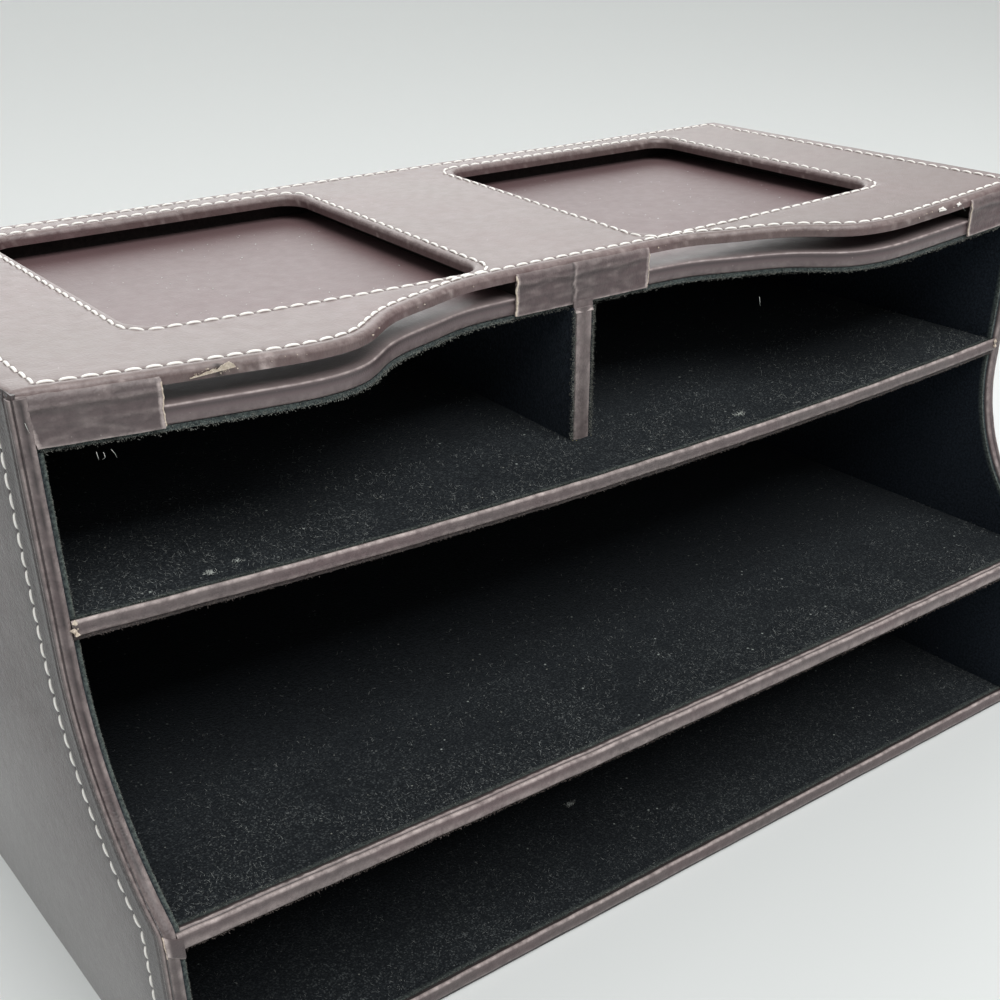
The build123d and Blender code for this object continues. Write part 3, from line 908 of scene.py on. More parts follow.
def stitches(line, closed, height):
    """Arched threads between the needle holes of a seam; height(points) puts them on the leather."""
    holes, path, length, places = stitch_ends(line, closed)
    count = len(places) - 1
    t = np.linspace(0, 1, 9)
    starts, ends = places[:-1], places[1:]
    along = starts[:, None] + HOLE_GAP + (ends - starts - 2 * HOLE_GAP)[:, None] * t[None]
    plan = np.stack([np.interp(along, length, path[:, i]) for i in range(path.shape[1])], axis=2)
    heading = np.gradient(plan, axis=1)
    heading /= np.linalg.norm(heading, axis=2, keepdims=True)
    sideways = np.stack([-heading[..., 1], heading[..., 0]], axis=2)
    slant = 0.10 * (1 - 2 * t)[None, :, None] + chance.uniform(-0.07, 0.07, (count, 1, 1))
    plan = plan + slant * sideways
    arch = np.sin(np.pi * t) ** 0.55
    lift = 0.30 * arch[None] - 0.16 + chance.uniform(-0.04, 0.05, (count, 1))
    base = height(plan.reshape(-1, plan.shape[2])).reshape(count, len(t))
    thick = THREAD_RADIUS * (0.5 + 0.5 * np.sin(np.pi * np.clip(t, 0.02, 0.98)) ** 0.35)
    angles = np.radians(np.arange(0, 360, 45))
    centre = np.concatenate([plan, (base + lift)[..., None]], axis=2)
    side3 = np.concatenate([sideways, np.zeros(sideways.shape[:2] + (1,))], axis=2)
    ring = (centre[:, :, None] + np.cos(angles)[None, None, :, None] * thick[None, :, None, None]
            * side3[:, :, None])
    ring[..., 2] += np.sin(angles)[None, None, :] * thick[None, :, None] * 0.7
    sides = len(angles)
    faces = []
    for stitch in range(count):
        first = stitch * len(t) * sides
        faces += quads(len(t), sides, first, closed=True)
        faces.append(tuple(range(first + sides - 1, first - 1, -1)))
        last = first + (len(t) - 1) * sides
        faces.append(tuple(range(last, last + sides)))
    return ring.reshape(-1, 3), faces


def top_surface(plan):
    """Height of the unpressed leather, on which the threads lie."""
    return TOP - 0.30 - sag(plan[:, 0], plan[:, 1], TOP_SAG)


for name, line in seams.items():
    tube_points, tube_faces = stitches(line, "window" in name, top_surface)
    add_piece(f"{name}_seam_thread", tube_points, tube_faces, thread_finish, sharp=80)

# %% [markdown]
# ## Side leather
# Each side is a flat panel whose front edge follows the scooped profile. A seam runs about a centimetre
# behind that edge, and a double ridge stands just behind the edge, where the leather is folded over the
# board. All of this depends only on the distance behind the edge, so one formula of that distance
# gives the relief, and it stays even round the scoop, where a sculpted ridge would wander.

# %% Relief of a side
SIDE_SEAM = 10.5
RIDGE_PLACE = 1.1
GROOVE_PLACE = 2.4
SECOND_RIDGE_PLACE = 3.4
SIDE_SINK = 0.35
SIDE_RELIEF = {  # place behind the front edge, height, width
    "ridge": (RIDGE_PLACE, 0.35, 0.55),
    "groove": (GROOVE_PLACE, -0.40, 0.45),
    "second ridge": (SECOND_RIDGE_PLACE, 0.22, 0.6),
    "puff before the seam": (SIDE_SEAM - 1.6, 0.25, 1.2),
    "pressed seam": (SIDE_SEAM, -0.30, 0.7),
    "turned edge": (0.0, -0.9, 0.45),
}


def side_height(behind, plan):
    """How far the side leather stands out, by its distance behind the front edge."""
    height = np.full(len(behind), -SIDE_SINK)
    for at, high, wide in SIDE_RELIEF.values():
        height += high * np.exp(-((behind - at) / wide) ** 2)
    return height + 0.12 * waves(np.column_stack([plan, np.zeros(len(plan))]), 25.0, 3.0)


print("side relief:", ", ".join(SIDE_RELIEF))

# %% [markdown]
# ## The flat sheet of a side
# As on the top, a flat triangulated sheet comes first. Chains of points follow the front edge at the
# distances where the relief changes, so ridges and grooves have clean lines.

# %% Flat sheet of a side
BEHIND = (0.0, 0.25, 0.55, 0.9, 1.3, 1.8, 2.2, 2.6, 3.1, 3.7, 4.6, 5.8, 7.2, 8.4, 9.2, 9.8, 10.5,
          11.2, 12.0)
side_seam = side_path(SIDE_SEAM, COVER_TOP - 1.0, 1.2)
front_edge = side_path(0.0, COVER_TOP, 1.2)
back_foot = (BACK - LEATHER, 0.0)
back_top = (BACK - LEATHER, COVER_TOP)
side_outline = np.concatenate([
    front_edge,
    resample(np.array([front_edge[-1], back_foot]), 4)[1:],
    resample(np.array([back_foot, back_top]), 4)[1:],
    resample(np.array([back_top, front_edge[0]]), 4)[1:-1],
])
side_holes, side_rings, side_mids, _ = seam_points(side_seam, False)
chains = [side_path(inset, COVER_TOP, 1.6) for inset in BEHIND[1:]]
side_special = np.concatenate([side_holes, side_rings, side_mids])
side_chains = clear_of(np.concatenate(chains), side_special, 0.35)
side_special = np.concatenate([side_special, side_chains])
side_fill = clear_of(spread((-85, 0), (BACK, COVER_TOP), 4.0, 2),
                     np.concatenate([side_special, side_outline]), 1.8)
side_inner = np.concatenate([side_special, side_fill])
side_inner = clear_of(side_inner, side_outline, 0.2)
side_inner = side_inner[in_outline(side_inner, side_outline)]
side_flat, side_triangles = triangulated(side_outline, [], side_inner)
print("side sheet", len(side_flat), "points", len(side_triangles), "triangles")

# %% [markdown]
# ## Heights and wear of a side
# Each point of the sheet gets its distance behind the front edge, and from it the relief and the painted
# numbers: rubbed on the ridges, painted shade in the groove and towards the curved front edge. Pits go
# in at the holes, with painted shade in them.

# %% Heights and wear of a side
edge_fine = side_path(0.0, COVER_TOP, 0.4)
behind = nearest(side_flat, edge_fine)
side_stand = side_height(behind, side_flat)
side_stand -= 0.3 * np.exp(-(nearest(side_flat, side_holes) / 0.35) ** 2)
near_top = COVER_TOP - side_flat[:, 1]
side_stand -= 0.6 * np.exp(-(near_top / 0.5) ** 2)
# Painted shade: in the needle holes, towards the curved front edge and in the groove.
side_pit = np.exp(-(nearest(side_flat, side_holes) / 0.3) ** 2)
side_pit = np.maximum(side_pit, 0.62 * np.exp(-(behind / 15.0) ** 2))
side_pit = np.maximum(side_pit, 0.55 * np.exp(-((behind - 2.3) / 0.5) ** 2))
side_wear = 0.5 * np.exp(-((behind - RIDGE_PLACE) / 0.6) ** 2)
side_wear += 0.15 * np.exp(-((behind - SECOND_RIDGE_PLACE) / 0.6) ** 2)
print("side stands from", round(side_stand.min(), 2), "to", round(side_stand.max(), 2), "mm")

# %% [markdown]
# ## Both side covers
# The same sheet serves left and right. It is stood upright, its faces are turned outward, and a rim
# closes it towards the board. The thread follows the same seam.

# %% Side covers
for side, out in (("left", -1), ("right", 1)):
    points = np.column_stack([out * (HALF_WIDTH + side_stand), side_flat])
    corners = side_flat[side_triangles]
    turn = np.cross(corners[:, 1] - corners[:, 0], corners[:, 2] - corners[:, 0])
    faces = [tuple(f) if (t > 0) == (out > 0) else tuple(f[::-1])
             for f, t in zip(side_triangles, turn)]
    count = len(side_outline)
    back_rim = np.column_stack([np.full(count, out * BOARD_OUT), side_outline])
    first = len(points)
    points = np.concatenate([points, back_rim])
    for i in range(count):
        j = (i + 1) % count
        quad = (i, first + i, first + j, j)
        faces.append(quad if out < 0 else quad[::-1])
    paint = np.concatenate([side_wear, np.zeros(count)])
    pit = np.concatenate([side_pit, np.zeros(count)])
    add_piece(f"{side}_side_leather", points, faces, side_leather_finish,
              [f"{side}_side_cover"], paint, pit)

    raw, raw_faces = stitches(side_seam, False, lambda plan: np.full(len(plan), 0.05))
    standing = np.column_stack([out * (HALF_WIDTH + raw[:, 2] - SIDE_SINK), raw[:, 0], raw[:, 1]])
    add_piece(f"{side}_side_seam_thread", standing, raw_faces, thread_finish, sharp=80)

# %% [markdown]
# ## Leather edges of the sides
# The front edges of the sides, shelves, divider and bottom are narrow strips of leather folded over
# the board. A bevelled curve gives a smooth bead but no folds. So each strip is swept along its edge
# with a section that has the fold's real swell and grooves, and each point of the section also says
# how rubbed the leather is there and how much painted shade lies on it, in grooves and gaps.

# %% Side edge strips
STRIP = ((151.1, -2.0), (151.1, -0.3), (151.3, 0.25), (151.9, 0.5), (152.6, 0.55), (153.3, 0.4),
         (153.75, 0.05), (154.0, -0.3), (154.2, -0.1), (154.5, 0.1), (154.8, -0.15), (154.8, -2.0))
STRIP_WEAR = (0, .1, .4, .2, .05, .1, .4, 0, .3, .5, .2, 0)
# Painted shade in the strip's groove and along its inner edge beside the velvet.
STRIP_SHADE = (.6, .3, 0, 0, .1, .1, .1, .8, .2, 0, 0, 0)


def swept_edge(path, section):
    """Sections along a (y, z) path; section points are (x, how far in front of the path)."""
    heading = tangents(path)
    forward = np.stack([heading[:, 1], -heading[:, 0]], axis=1)
    rows = []
    for place, front in zip(path, forward):
        rows.append([(x, place[0] + reach * front[0], place[1] + reach * front[1])
                     for x, reach in section])
    return np.array(rows)


strip_path = side_path(0.0, TOP - 1.5, 1.2)
for side, out in (("left", -1), ("right", 1)):
    rows = swept_edge(strip_path, STRIP)
    uneven = waves(rows.reshape(-1, 3), 6.0, out * 5.0).reshape(rows.shape[:2]) * 0.08
    rows[..., 1] -= uneven
    rows[..., 0] *= out
    wear = np.tile(STRIP_WEAR, (len(rows), 1))
    wear[:, 2:4] += 0.3 * np.clip(waves(rows[:, 2:4], 4.0, 2.0).reshape(-1, 2) + 0.1, 0, 1)
    pit = np.tile(STRIP_SHADE, (len(rows), 1))
    pit[:, 4] += np.clip(0.5 + waves(rows[:, 4], 3.0, 12.0), 0, 0.6) * (rows[:, 4, 2] < 95)
    if out < 0:
        rows = rows[::-1]
    points, faces = swept(rows)
    add_piece(f"{side}_edge_leather", points, faces, edge_leather_finish,
              [f"{side}_edge_strip"], wear, pit)


# %% [markdown]
# ## A lap over the left strip
# The lower shelf's edge leather ends in a small tongue, glued over the left strip. It is too short for
# a sweep, so it is a slab between two grids, laid on the strip's own line and slanted with the shelf.

# %% Lap over the left strip
TONGUE_ENDS = (-154.0, -150.0)
TONGUE_TOP = 58.4
TONGUE_LENGTH = 5.8
tongue_across, tongue_down = np.meshgrid(np.linspace(*TONGUE_ENDS, 14), np.linspace(0, 1, 12),
                                         indexing="ij")
tongue_z = TONGUE_TOP - TONGUE_LENGTH * tongue_down - 0.5 * (tongue_across + 152.0)
strip_down = strip_path[::-1]
tongue_y = np.interp(tongue_z, strip_down[:, 1], strip_down[:, 0]) - 0.75
corner = np.hypot(np.clip(-152.6 - tongue_across, 0, 9), np.clip(tongue_down - 0.75, 0, 1) * 5.6)
tongue_y += 0.35 * np.clip(corner, 0, 1.5) ** 2
shelf_tongue = np.stack([tongue_across, tongue_y, tongue_z], axis=2)
shelf_tongue[..., 1] -= 0.10 * waves(shelf_tongue, 1.8, 5.0).reshape(tongue_y.shape)
points, faces = slab(shelf_tongue, shelf_tongue + (0, 0.5, 0))
tongue_rim = np.maximum(np.exp(-((tongue_across + 153.7) / 0.5) ** 2),
                        np.exp(-((tongue_down - 1) / 0.09) ** 2))
add_piece("shelf_tongue", points, [f[::-1] for f in faces], edge_leather_finish,
          wear=np.concatenate([tongue_rim.ravel(), tongue_rim.ravel()]))

# %% [markdown]
# ## Leather edges of the shelves
# The shelves' strips run straight across the front but sink with the boards, so their sections are set
# at many stations and lowered by the sag. The upper shelf and the bottom have a narrow turn-in. The
# lower shelf's is broad, with a ridge, a groove and a ragged cut edge behind it. A section is a list of
# points with two painted numbers each, which is easier to shape than a profile curve.

# %% Shelf sections
EDGE_SPACING = 0.9
EDGE_RIPPLE = 0.12


def across(section, amount, seed):
    """Sections of a bar across the front; section points are (y, z) and sink with the shelf."""
    stations = np.linspace(-BOARD_IN, BOARD_IN, int(2 * BOARD_IN / EDGE_SPACING) + 1)
    section = np.asarray(section)
    rows = np.zeros((len(stations), len(section), 3))
    rows[..., 0] = stations[:, None]
    rows[..., 1] = section[None, :, 0]
    rows[..., 2] = section[None, :, 1] - sag(rows[..., 0], rows[..., 1], amount)
    shift = waves(rows.reshape(-1, 3), 7.0, seed).reshape(rows.shape[:2]) * EDGE_RIPPLE
    rows[..., 1] += shift
    rows[..., 2] += shift * 0.6
    return rows


# Wear here also paints the arris highlight; the last column paints shade and dirt on the laps.
def narrow_lap(front, bottom, top, lap):
    """Edge strip with a short turn-in. Columns: y, z, wear with painted highlight, painted shade and
    dirt.
    """
    return [(front + lap, bottom, 0, .8), (front + 1.3, bottom - .05, 0, .8),
            (front + .75, bottom + .15, 0, .7), (front + .6, bottom + .7, 0, .6),
            (front + .5, bottom + 1.1, 0, .6), (front + .22, bottom + 1.35, .5, 0),
            (front + .03, bottom + 1.7, .4, 0), (front, bottom + 2.2, .15, 0),
            (front + .05, (bottom + top) / 2 + .4, .05, 0), (front + .02, top - 1.2, .1, 0),
            (front + .08, top - .7, .15, 0), (front + .22, top - .3, .8, 0),
            (front + .48, top + .06, 1, 0), (front + .85, top + .05, 1, 0),
            (front + 1.05, top - .05, .2, .3),
            (front + 1.3, top - .25, 0, .7), (front + lap - .2, top - .3, 0, .75),
            (front + lap, top - .4, 0, .75), (front + lap, top - 1.0, 0, .7)]


def wide_lap(front, bottom, top, lap):
    """Edge strip with a broad turn-in, whose cut edge stands up behind a groove and a ridge."""
    return [(front + lap, bottom, 0, .8), (front + 1.5, bottom - .05, 0, .8),
            (front + .6, bottom + .1, 0, .6), (front + .25, bottom + .5, .45, 0),
            (front + .05, bottom + 1.0, .45, 0), (front, bottom + 1.8, .35, 0),
            (front + .04, (bottom + top) / 2 + .3, .15, 0), (front + .02, top - 1.3, .05, 0),
            (front + .08, top - .7, .1, 0), (front + .25, top - .25, .8, 0),
            (front + .5, top + .08, 1, 0), (front + .85, top + .08, 1, 0),
            (front + 1.1, top - .02, .3, .2),
            (front + 1.35, top - .28, 0, .8), (front + 1.6, top - .05, .5, .1),
            (front + 1.95, top + .12, 1, 0), (front + 2.3, top - .05, .5, .3),
            (front + 2.7, top - .15, 0, .75), (front + lap, top - .2, 0, .8),
            (front + lap, top - .8, 0, .8)]


print("section points:", len(narrow_lap(0, 0, 5, 2)), "narrow,", len(wide_lap(0, 0, 5, 3)), "wide")

# %% [markdown]
# ## Sweeping the shelf edges
# Each strip gets its own ripple. Behind the lower shelf's ridge the cut edge of the leather is ragged,
# so those points wander. Wear is varied along the strip, because a hand doesn't rub evenly.

# %% Shelf edges
edges = (
    ("upper_shelf", extent("upper_shelf_edge", Y)[0], UPPER_FLOOR - SHELF_THICK, UPPER_FLOOR, 1.8,
     TOP_SAG, narrow_lap),
    ("lower_shelf", extent("lower_shelf_edge", Y)[0], LOWER_FLOOR - SHELF_THICK, LOWER_FLOOR, 3.2,
     LOWER_SAG, wide_lap),
    ("bottom", extent("bottom_edge", Y)[0], 0.1, BOTTOM_TOP, 2.2, 0.0, narrow_lap),
)
for number, (name, front, bottom, top, lap, amount, shape) in enumerate(edges):
    section = np.array(shape(front, bottom, top, lap))
    rows = across(section[:, :2], amount, number * 3.0)
    faces = swept(rows)[1]
    behind_ridge = (section[:, 0] > front + 1.9) & (section[:, 0] < front + 2.4)
    ragged = behind_ridge & (section[:, 1] > bottom + 1)
    rows[:, ragged, 1] += 0.35 * waves(rows[:, ragged], 1.4, 4.0).reshape(rows[:, ragged, 1].shape)
    points = rows.reshape(-1, 3)
    rub = 0.85 + 0.3 * waves(points, 3.0, number + 30.0).reshape(rows.shape[:2])
    # The wear painted here is mostly the bright highlight along each strip's top arris.
    wear = np.clip(section[None, :, 2] * rub, 0, 1)
    pit = np.tile(section[:, 3], (len(rows), 1))
    add_piece(f"{name}_edge_leather", points, [f[::-1] for f in faces], edge_leather_finish,
              [f"{name}_edge"], wear, pit)

# %% [markdown]
# ## The floor of the photo pocket
# Under the windows lies a second leather sheet, the floor that a photo would rest on. It rolls round
# the front of its board and back underneath. Its section changes across the front, because the front
# edge is curly, so a section is worked out for every station and the sections are joined. The rolled
# front has faded, where light reached it through the slot.

# %% Section of the pocket floor
RUN = 36
CREASE, LOWER_RIM = RUN + 4, RUN + 6


def pocket_rows():
    """Sections from back to front over the pocket floor, round its front edge and back under."""
    rows = []
    for x in np.arange(-BOARD_IN, BOARD_IN + 0.1, 1.4):
        front = float(curly(x))
        run = np.linspace(BACK_FACE + 1, front + 0.55, RUN)
        section = [(y, POCKET_TOP) for y in run]
        for angle in np.radians((25, 50, 75, 90)):
            section.append((front + 0.55 - 0.55 * math.sin(angle),
                            POCKET_TOP - 0.5 + 0.5 * math.cos(angle)))
        section.append((front + 0.30, POCKET_TOP - 1.1))
        section.append((front + 0.02, POCKET_TOP - 1.8))
        section.append((front + 0.15, POCKET_BOTTOM + 0.6))
        section.append((front + 0.8, POCKET_BOTTOM))
        section.append((front + 6.0, POCKET_BOTTOM))
        section.append((front + 6.0, POCKET_BOTTOM + 0.8))
        section.append((BACK_FACE + 1, POCKET_BOTTOM + 0.8))
        rows.append([(x, y, z - float(sag(x, y, TOP_SAG))) for y, z in section])
    return np.array(rows)


rows = pocket_rows()
print("pocket floor:", rows.shape[0], "sections of", rows.shape[1], "points")

# %% [markdown]
# ## Painting the pocket floor
# Every section has its points in the same order, so one column of the grid is the same line everywhere:
# the roll, the crease under it, the lower rim. Each line gets its wear, with a painted highlight along
# the top of the roll, its painted shade in the crease and under the lower rim, and its fading.

# %% Pocket floor
heights = rows[:, :RUN + 1, 2]
heights += 0.10 * waves(rows[:, :RUN + 1], 22.0, 11.0).reshape(heights.shape)
wear = np.zeros(rows.shape[:2])
# Painted highlight along the top of the roll, with some wear.
wear[:, RUN - 1:RUN + 3] = (0.15, 0.75, 0.75, 0.3)
wear[:, LOWER_RIM:LOWER_RIM + 2] = 0.25
wear *= 0.8 + 0.5 * waves(rows, 2.5, 14.0).reshape(wear.shape)
pit = np.zeros(rows.shape[:2])
# Painted shade in the crease under the roll and under the lower rim.
pit[:, CREASE] = 0.45
pit[:, LOWER_RIM + 1] = 0.3
faded = np.zeros(rows.shape[:2])
faded[:, RUN - 2:] = 1.0
points, faces = swept(rows)
add_piece("pocket_floor_leather", points, [f[::-1] for f in faces], pocket_leather_finish,
          ["pocket_floor_cover"], wear, pit, faded)

# %% [markdown]
# ## Tabs over the photo pocket
# Three tabs of leather close the front of the photo pocket. Old folds run across them, their lower
# rims are rubbed, and the centre tab is lapped where it passes the divider. Cloth simulation would
# wrinkle them at random, but these folds have known places. So every row of a tab bulges by a sum of
# ridges, waves and the lap, and the same sum says where painted shade darkens it and where it is
# rubbed, partly a painted highlight on its ridges and upper band.

# %% Relief of a tab
RIDGES = ((0.04, 0.12, 0.04), (0.40, 0.06, 0.05), (0.76, 0.26, 0.06))


def tab_relief(row, level, seed, lap_at):
    """How far one row of a tab bulges, its painted shade, and its wear with painted highlight."""
    bent = level + 0.08 * waves(row * (1, 1, 0.1), 8.0, seed)
    ridge = sum(high * np.exp(-((bent - at) / wide) ** 2) for at, high, wide in RIDGES)
    bulge = 0.62 + ridge - 0.75 * max(0.0, (level - 0.86) / 0.14) ** 2
    bulge = bulge + 0.12 * waves(row, 3.4, seed)
    bulge = bulge + 0.10 * waves(row * (0.25, 1, 1), 0.9, seed + 3)
    rim = np.exp(-(level / 0.03) ** 2)
    # Painted shade in the fold's hollow and along the edge of the lap.
    hollow_shade = 0.35 * np.exp(-((bent - 0.66) / 0.05) ** 2)
    # Wear, partly a painted highlight: on the ridges and on the upper band that turns to the light.
    rubbed_and_highlight = 0.12 * ridge / 0.2 + 0.55 * rim + 0.25 * max(0.0, (level - 0.84) / 0.16)
    rubbed_and_highlight = rubbed_and_highlight + 0.25 * np.clip(waves(row * (0.3, 1, 1), 1.3, seed + 8), 0, 1)
    if lap_at is not None:
        place = row[:, 0] - lap_at - 0.8 * noise.noise(Vector((level * 5, 2.0, 0)))
        bulge = bulge + 0.30 / (1 + np.exp(-place / 0.12)) * np.exp(-np.clip(place, 0, 9) / 4)
        hollow_shade = np.maximum(hollow_shade, 0.7 * np.exp(-((place + 0.25) / 0.3) ** 2))
        rubbed_and_highlight = rubbed_and_highlight + 0.5 * np.exp(-((place - 0.4) / 0.4) ** 2)
    return bulge, hollow_shade, np.clip(rubbed_and_highlight, 0, 1)


print("ridges across a tab:", len(RIDGES))

# %% [markdown]
# ## One tab
# A tab is a slab of rows from its foot to its top. Its cut ends wander a little, its rows follow the
# curly edge and the sag, and its first and last rows are rubbed most.

# %% Tab helper
TAB_ROWS = 44
COLUMN_STEP = 0.5


def tab(name, low_ends, high_ends, nodes, seed, lap_at=None):
    """A leather tab. Its ends across the front are given at its foot and at its top."""
    across_tab = np.linspace(0, 1, int((low_ends[1] - low_ends[0]) / COLUMN_STEP) + 1)
    front, back, wear, pit = [], [], [], []
    for level in np.linspace(0, 1, TAB_ROWS):
        left = low_ends[0] + (high_ends[0] - low_ends[0]) * level
        right = low_ends[1] + (high_ends[1] - low_ends[1]) * level
        ragged = 0.3 * noise.noise(Vector((seed, level * 9, 0)))
        ragged += 0.15 * noise.noise(Vector((seed, level * 31, 0)))
        x = left + ragged + (right - left) * across_tab
        z = POCKET_BOTTOM - 0.1 + (TOP - 1.2 - POCKET_BOTTOM) * level
        row = np.column_stack([x, np.zeros(len(x)), np.full(len(x), z)])
        bulge, hollow_shade, rubbed_and_highlight = tab_relief(row, level, seed, lap_at)
        row[:, 1] = curly(x) - bulge
        row[:, 2] -= sag(x, curly(x), TOP_SAG)
        front.append(row)
        back.append(np.column_stack([x, np.maximum(curly(x) - 0.02, row[:, 1] + 0.5), row[:, 2]]))
        wear.append(rubbed_and_highlight)
        pit.append(hollow_shade)
    front, back = np.array(front), np.array(back)
    points, faces = slab(front, back)
    wear, pit = np.array(wear), np.array(pit)
    wear[:, :2] = np.maximum(wear[:, :2], 0.7)
    wear[:, -2:] = np.maximum(wear[:, -2:], 0.7)
    add_piece(name, points, faces, edge_leather_finish, nodes,
              np.concatenate([wear.ravel(), wear.ravel() * 0.5]),
              np.concatenate([pit.ravel(), np.zeros(pit.size)]))
    return front


# %% [markdown]
# ## The three tabs
# The tabs' ends slant a little, as cut by hand, so their feet and tops have different ends. The sheets'
# front points are kept, because the cut ends are laid along them.

# %% Tabs
TAB_END = BOARD_IN - 0.1
left_tab = tab("left_corner_tab_leather", (-TAB_END, -126.0), (-153.2, -125.6),
               ["left_corner_tab"], 2.0)
centre_tab = tab("centre_tab_leather", (-21.6, 22.0), (-21.2, 22.4), ["centre_tab"], 4.0, -3.1)
right_tab = tab("right_corner_tab_leather", (126.0, TAB_END), (125.6, 153.2),
                ["right_corner_tab"], 6.0)

# %% [markdown]
# ## The centre tab's tongue
# A narrow tongue of the centre tab bridges the raw velvet down to the divider. It is one more slab that
# narrows and dips as it goes down.

# %% Tongue of the centre tab
across_tongue, down = np.meshgrid(np.linspace(-3.3, 3.1, 16), np.linspace(0, 1, 8), indexing="ij")
tongue_top = POCKET_BOTTOM + 0.6 - sag(across_tongue, -29.0, TOP_SAG)
tongue = np.stack([across_tongue * (1 - 0.08 * down), curly(across_tongue) - 0.95 - 0.8 * down ** 2,
                   tongue_top - 2.9 * down], axis=2)
tongue[..., 1] -= 0.12 * waves(tongue, 1.5, 3.0).reshape(tongue.shape[:2])
points, faces = slab(tongue, tongue + (0, 0.5, 0))
tongue_wear = np.where(down > 0.85, 0.9, 0.15) * np.ones(tongue.shape[:2])
add_piece("centre_tab_tongue", points, [f[::-1] for f in faces], edge_leather_finish,
          wear=np.concatenate([tongue_wear.ravel(), tongue_wear.ravel()]))

# %% [markdown]
# ## Cut ends
# Where leather is cut, its pale core shows as a thin uneven line. Painting it on the last column of
# points would blur it over a whole face, so it is a thin bar of its own along the cut.

# %% Cut ends


def cut_end(name, line, width, seed):
    """The pale core of the leather along a tab's cut end, as a thin uneven bar."""
    line = resample(line, 0.35)
    girth = width * (0.75 + 0.9 * np.abs(waves(line, 1.1, seed)))
    wander = 0.35 * np.column_stack([waves(line, 2.5, seed), np.zeros(len(line)),
                                     np.zeros(len(line))])
    angles = np.radians(np.arange(0, 360, 60))
    ring = np.stack([np.cos(angles), np.sin(angles), np.zeros(6)], axis=1)
    points, faces = swept((line + wander)[:, None] + girth[:, None, None] * ring[None])
    add_piece(name, points, faces, core_finish)


cut_end("left_tab_cut_end", left_tab[2:40, -1], 0.16, 3.0)
cut_end("centre_tab_left_cut_end", centre_tab[1:42, 0], 0.26, 5.0)
cut_end("centre_tab_right_cut_end", centre_tab[1:38, -1], 0.10, 7.0)
cut_end("right_tab_cut_end", right_tab[2:40, 0], 0.18, 9.0)
cut_end("shelf_tongue_cut_end", shelf_tongue[0], 0.15, 12.0)

# %% [markdown]
# ## The divider's edge
# The divider stands between the upper shelf and the pocket floor, and its leather strip is softly
# rounded. It is the same kind of sweep as the side strips, but upright and short.

# %% Divider edge
divider_front = extent("divider_edge", Y)[0]
DIVIDER = ((-2.6, 0.0), (-2.4, 0.35), (-1.2, 0.55), (0.0, 0.6), (1.2, 0.55), (2.4, 0.35),
           (2.6, 0.0), (2.6, -1.2), (-2.6, -1.2))
DIVIDER_WEAR = (.3, .4, .2, .1, .2, .4, .3, 0, 0)
divider_bottom = UPPER_FLOOR - float(sag(0, divider_front, TOP_SAG))
divider_top = CEILING - float(sag(0, divider_front, TOP_SAG))
rows = []
for z in np.linspace(divider_bottom, divider_top, 30):
    rows.append([(x, divider_front + 0.6 - reach, z) for x, reach in DIVIDER])
rows = np.array(rows)
rows[..., 1] += 0.08 * waves(rows, 5.0, 9.0).reshape(rows.shape[:2])
points, faces = swept(rows)
add_piece("divider_edge_leather", points, faces, edge_leather_finish,
          ["divider_edge"], np.tile(DIVIDER_WEAR, (len(rows), 1)))

# %% [markdown]
# ## Hairs
# The velvet was cut with scissors, so every raw edge has a fringe of loose pile. Hair particles could
# grow it, but they aren't part of the mesh that is exported. A fringe here is one piece of many short
# bent hairs, each a closed three-sided spike, with its own seed so that every run is the same.

# %% Hairs


def scattered(line, per_mm, seed, jitter=0.2):
    """Random places along a line, a little off it."""
    luck = np.random.default_rng(seed + 50)
    line = np.asarray(line, float)
    length = np.concatenate([[0], np.cumsum(np.linalg.norm(np.diff(line, axis=0), axis=1))])
    where = luck.uniform(0, length[-1], int(length[-1] * per_mm))
    places = np.stack([np.interp(where, length, line[:, i]) for i in range(3)], axis=1)
    return places + luck.normal(0, jitter, places.shape)


def unit(ways):
    """Directions of length one."""
    return ways / np.linalg.norm(ways, axis=1, keepdims=True)


def fringe(name, roots, lean, finish, length, seed, thick=0.07, stray=0.6):
    """Short bent hairs as one piece, each leaning its own way about a common direction."""
    luck = np.random.default_rng(seed)
    count = len(roots)
    way = unit(np.broadcast_to(lean, (count, 3)) + luck.normal(0, stray, (count, 3)))
    bend = unit(way + luck.normal(0, 0.5, (count, 3)))
    reach = length * luck.uniform(0.35, 1.2, (count, 1))
    side = unit(np.cross(way, (0.31, 0.52, 0.79)))
    other = np.cross(way, side)
    rings = []
    for part, girth in ((0.0, 1.0), (0.5, 0.8)):
        for angle in np.radians((0, 120, 240)):
            rings.append(roots + way * reach * part
                         + thick * girth * (side * math.cos(angle) + other * math.sin(angle)))
    rings.append(roots + way * reach * 0.5 + bend * reach * 0.5)
    faces = []
    for first in range(0, count * 7, 7):
        for i, j in ((0, 1), (1, 2), (2, 0)):
            faces.append((first + i, first + j, first + 3 + j, first + 3 + i))
            faces.append((first + 3 + i, first + 3 + j, first + 6))
        faces.append((first + 2, first + 1, first))
    add_piece(name, np.stack(rings, axis=1).reshape(-1, 3), faces, finish)


print("hair places on 10 mm:", len(scattered([(0, 0, 0), (10, 0, 0)], 8, 0)))

# %% [markdown]
# ## Crumbs
# Lint, dried glue and flakes of leather core are small uneven lumps. An icosphere for each would be
# many faces for something a fraction of a millimetre across, so a crumb is an eight-sided lump with
# its corners pushed in and out.

# %% Crumbs
CRUMB_CORNERS = np.array([(1, 0, 0), (0, 1, 0), (-1, 0, 0), (0, -1, 0), (0, 0, 1), (0, 0, -1)], float)
CRUMB_FACES = ((0, 1, 4), (1, 2, 4), (2, 3, 4), (3, 0, 4), (1, 0, 5), (2, 1, 5), (3, 2, 5), (0, 3, 5))


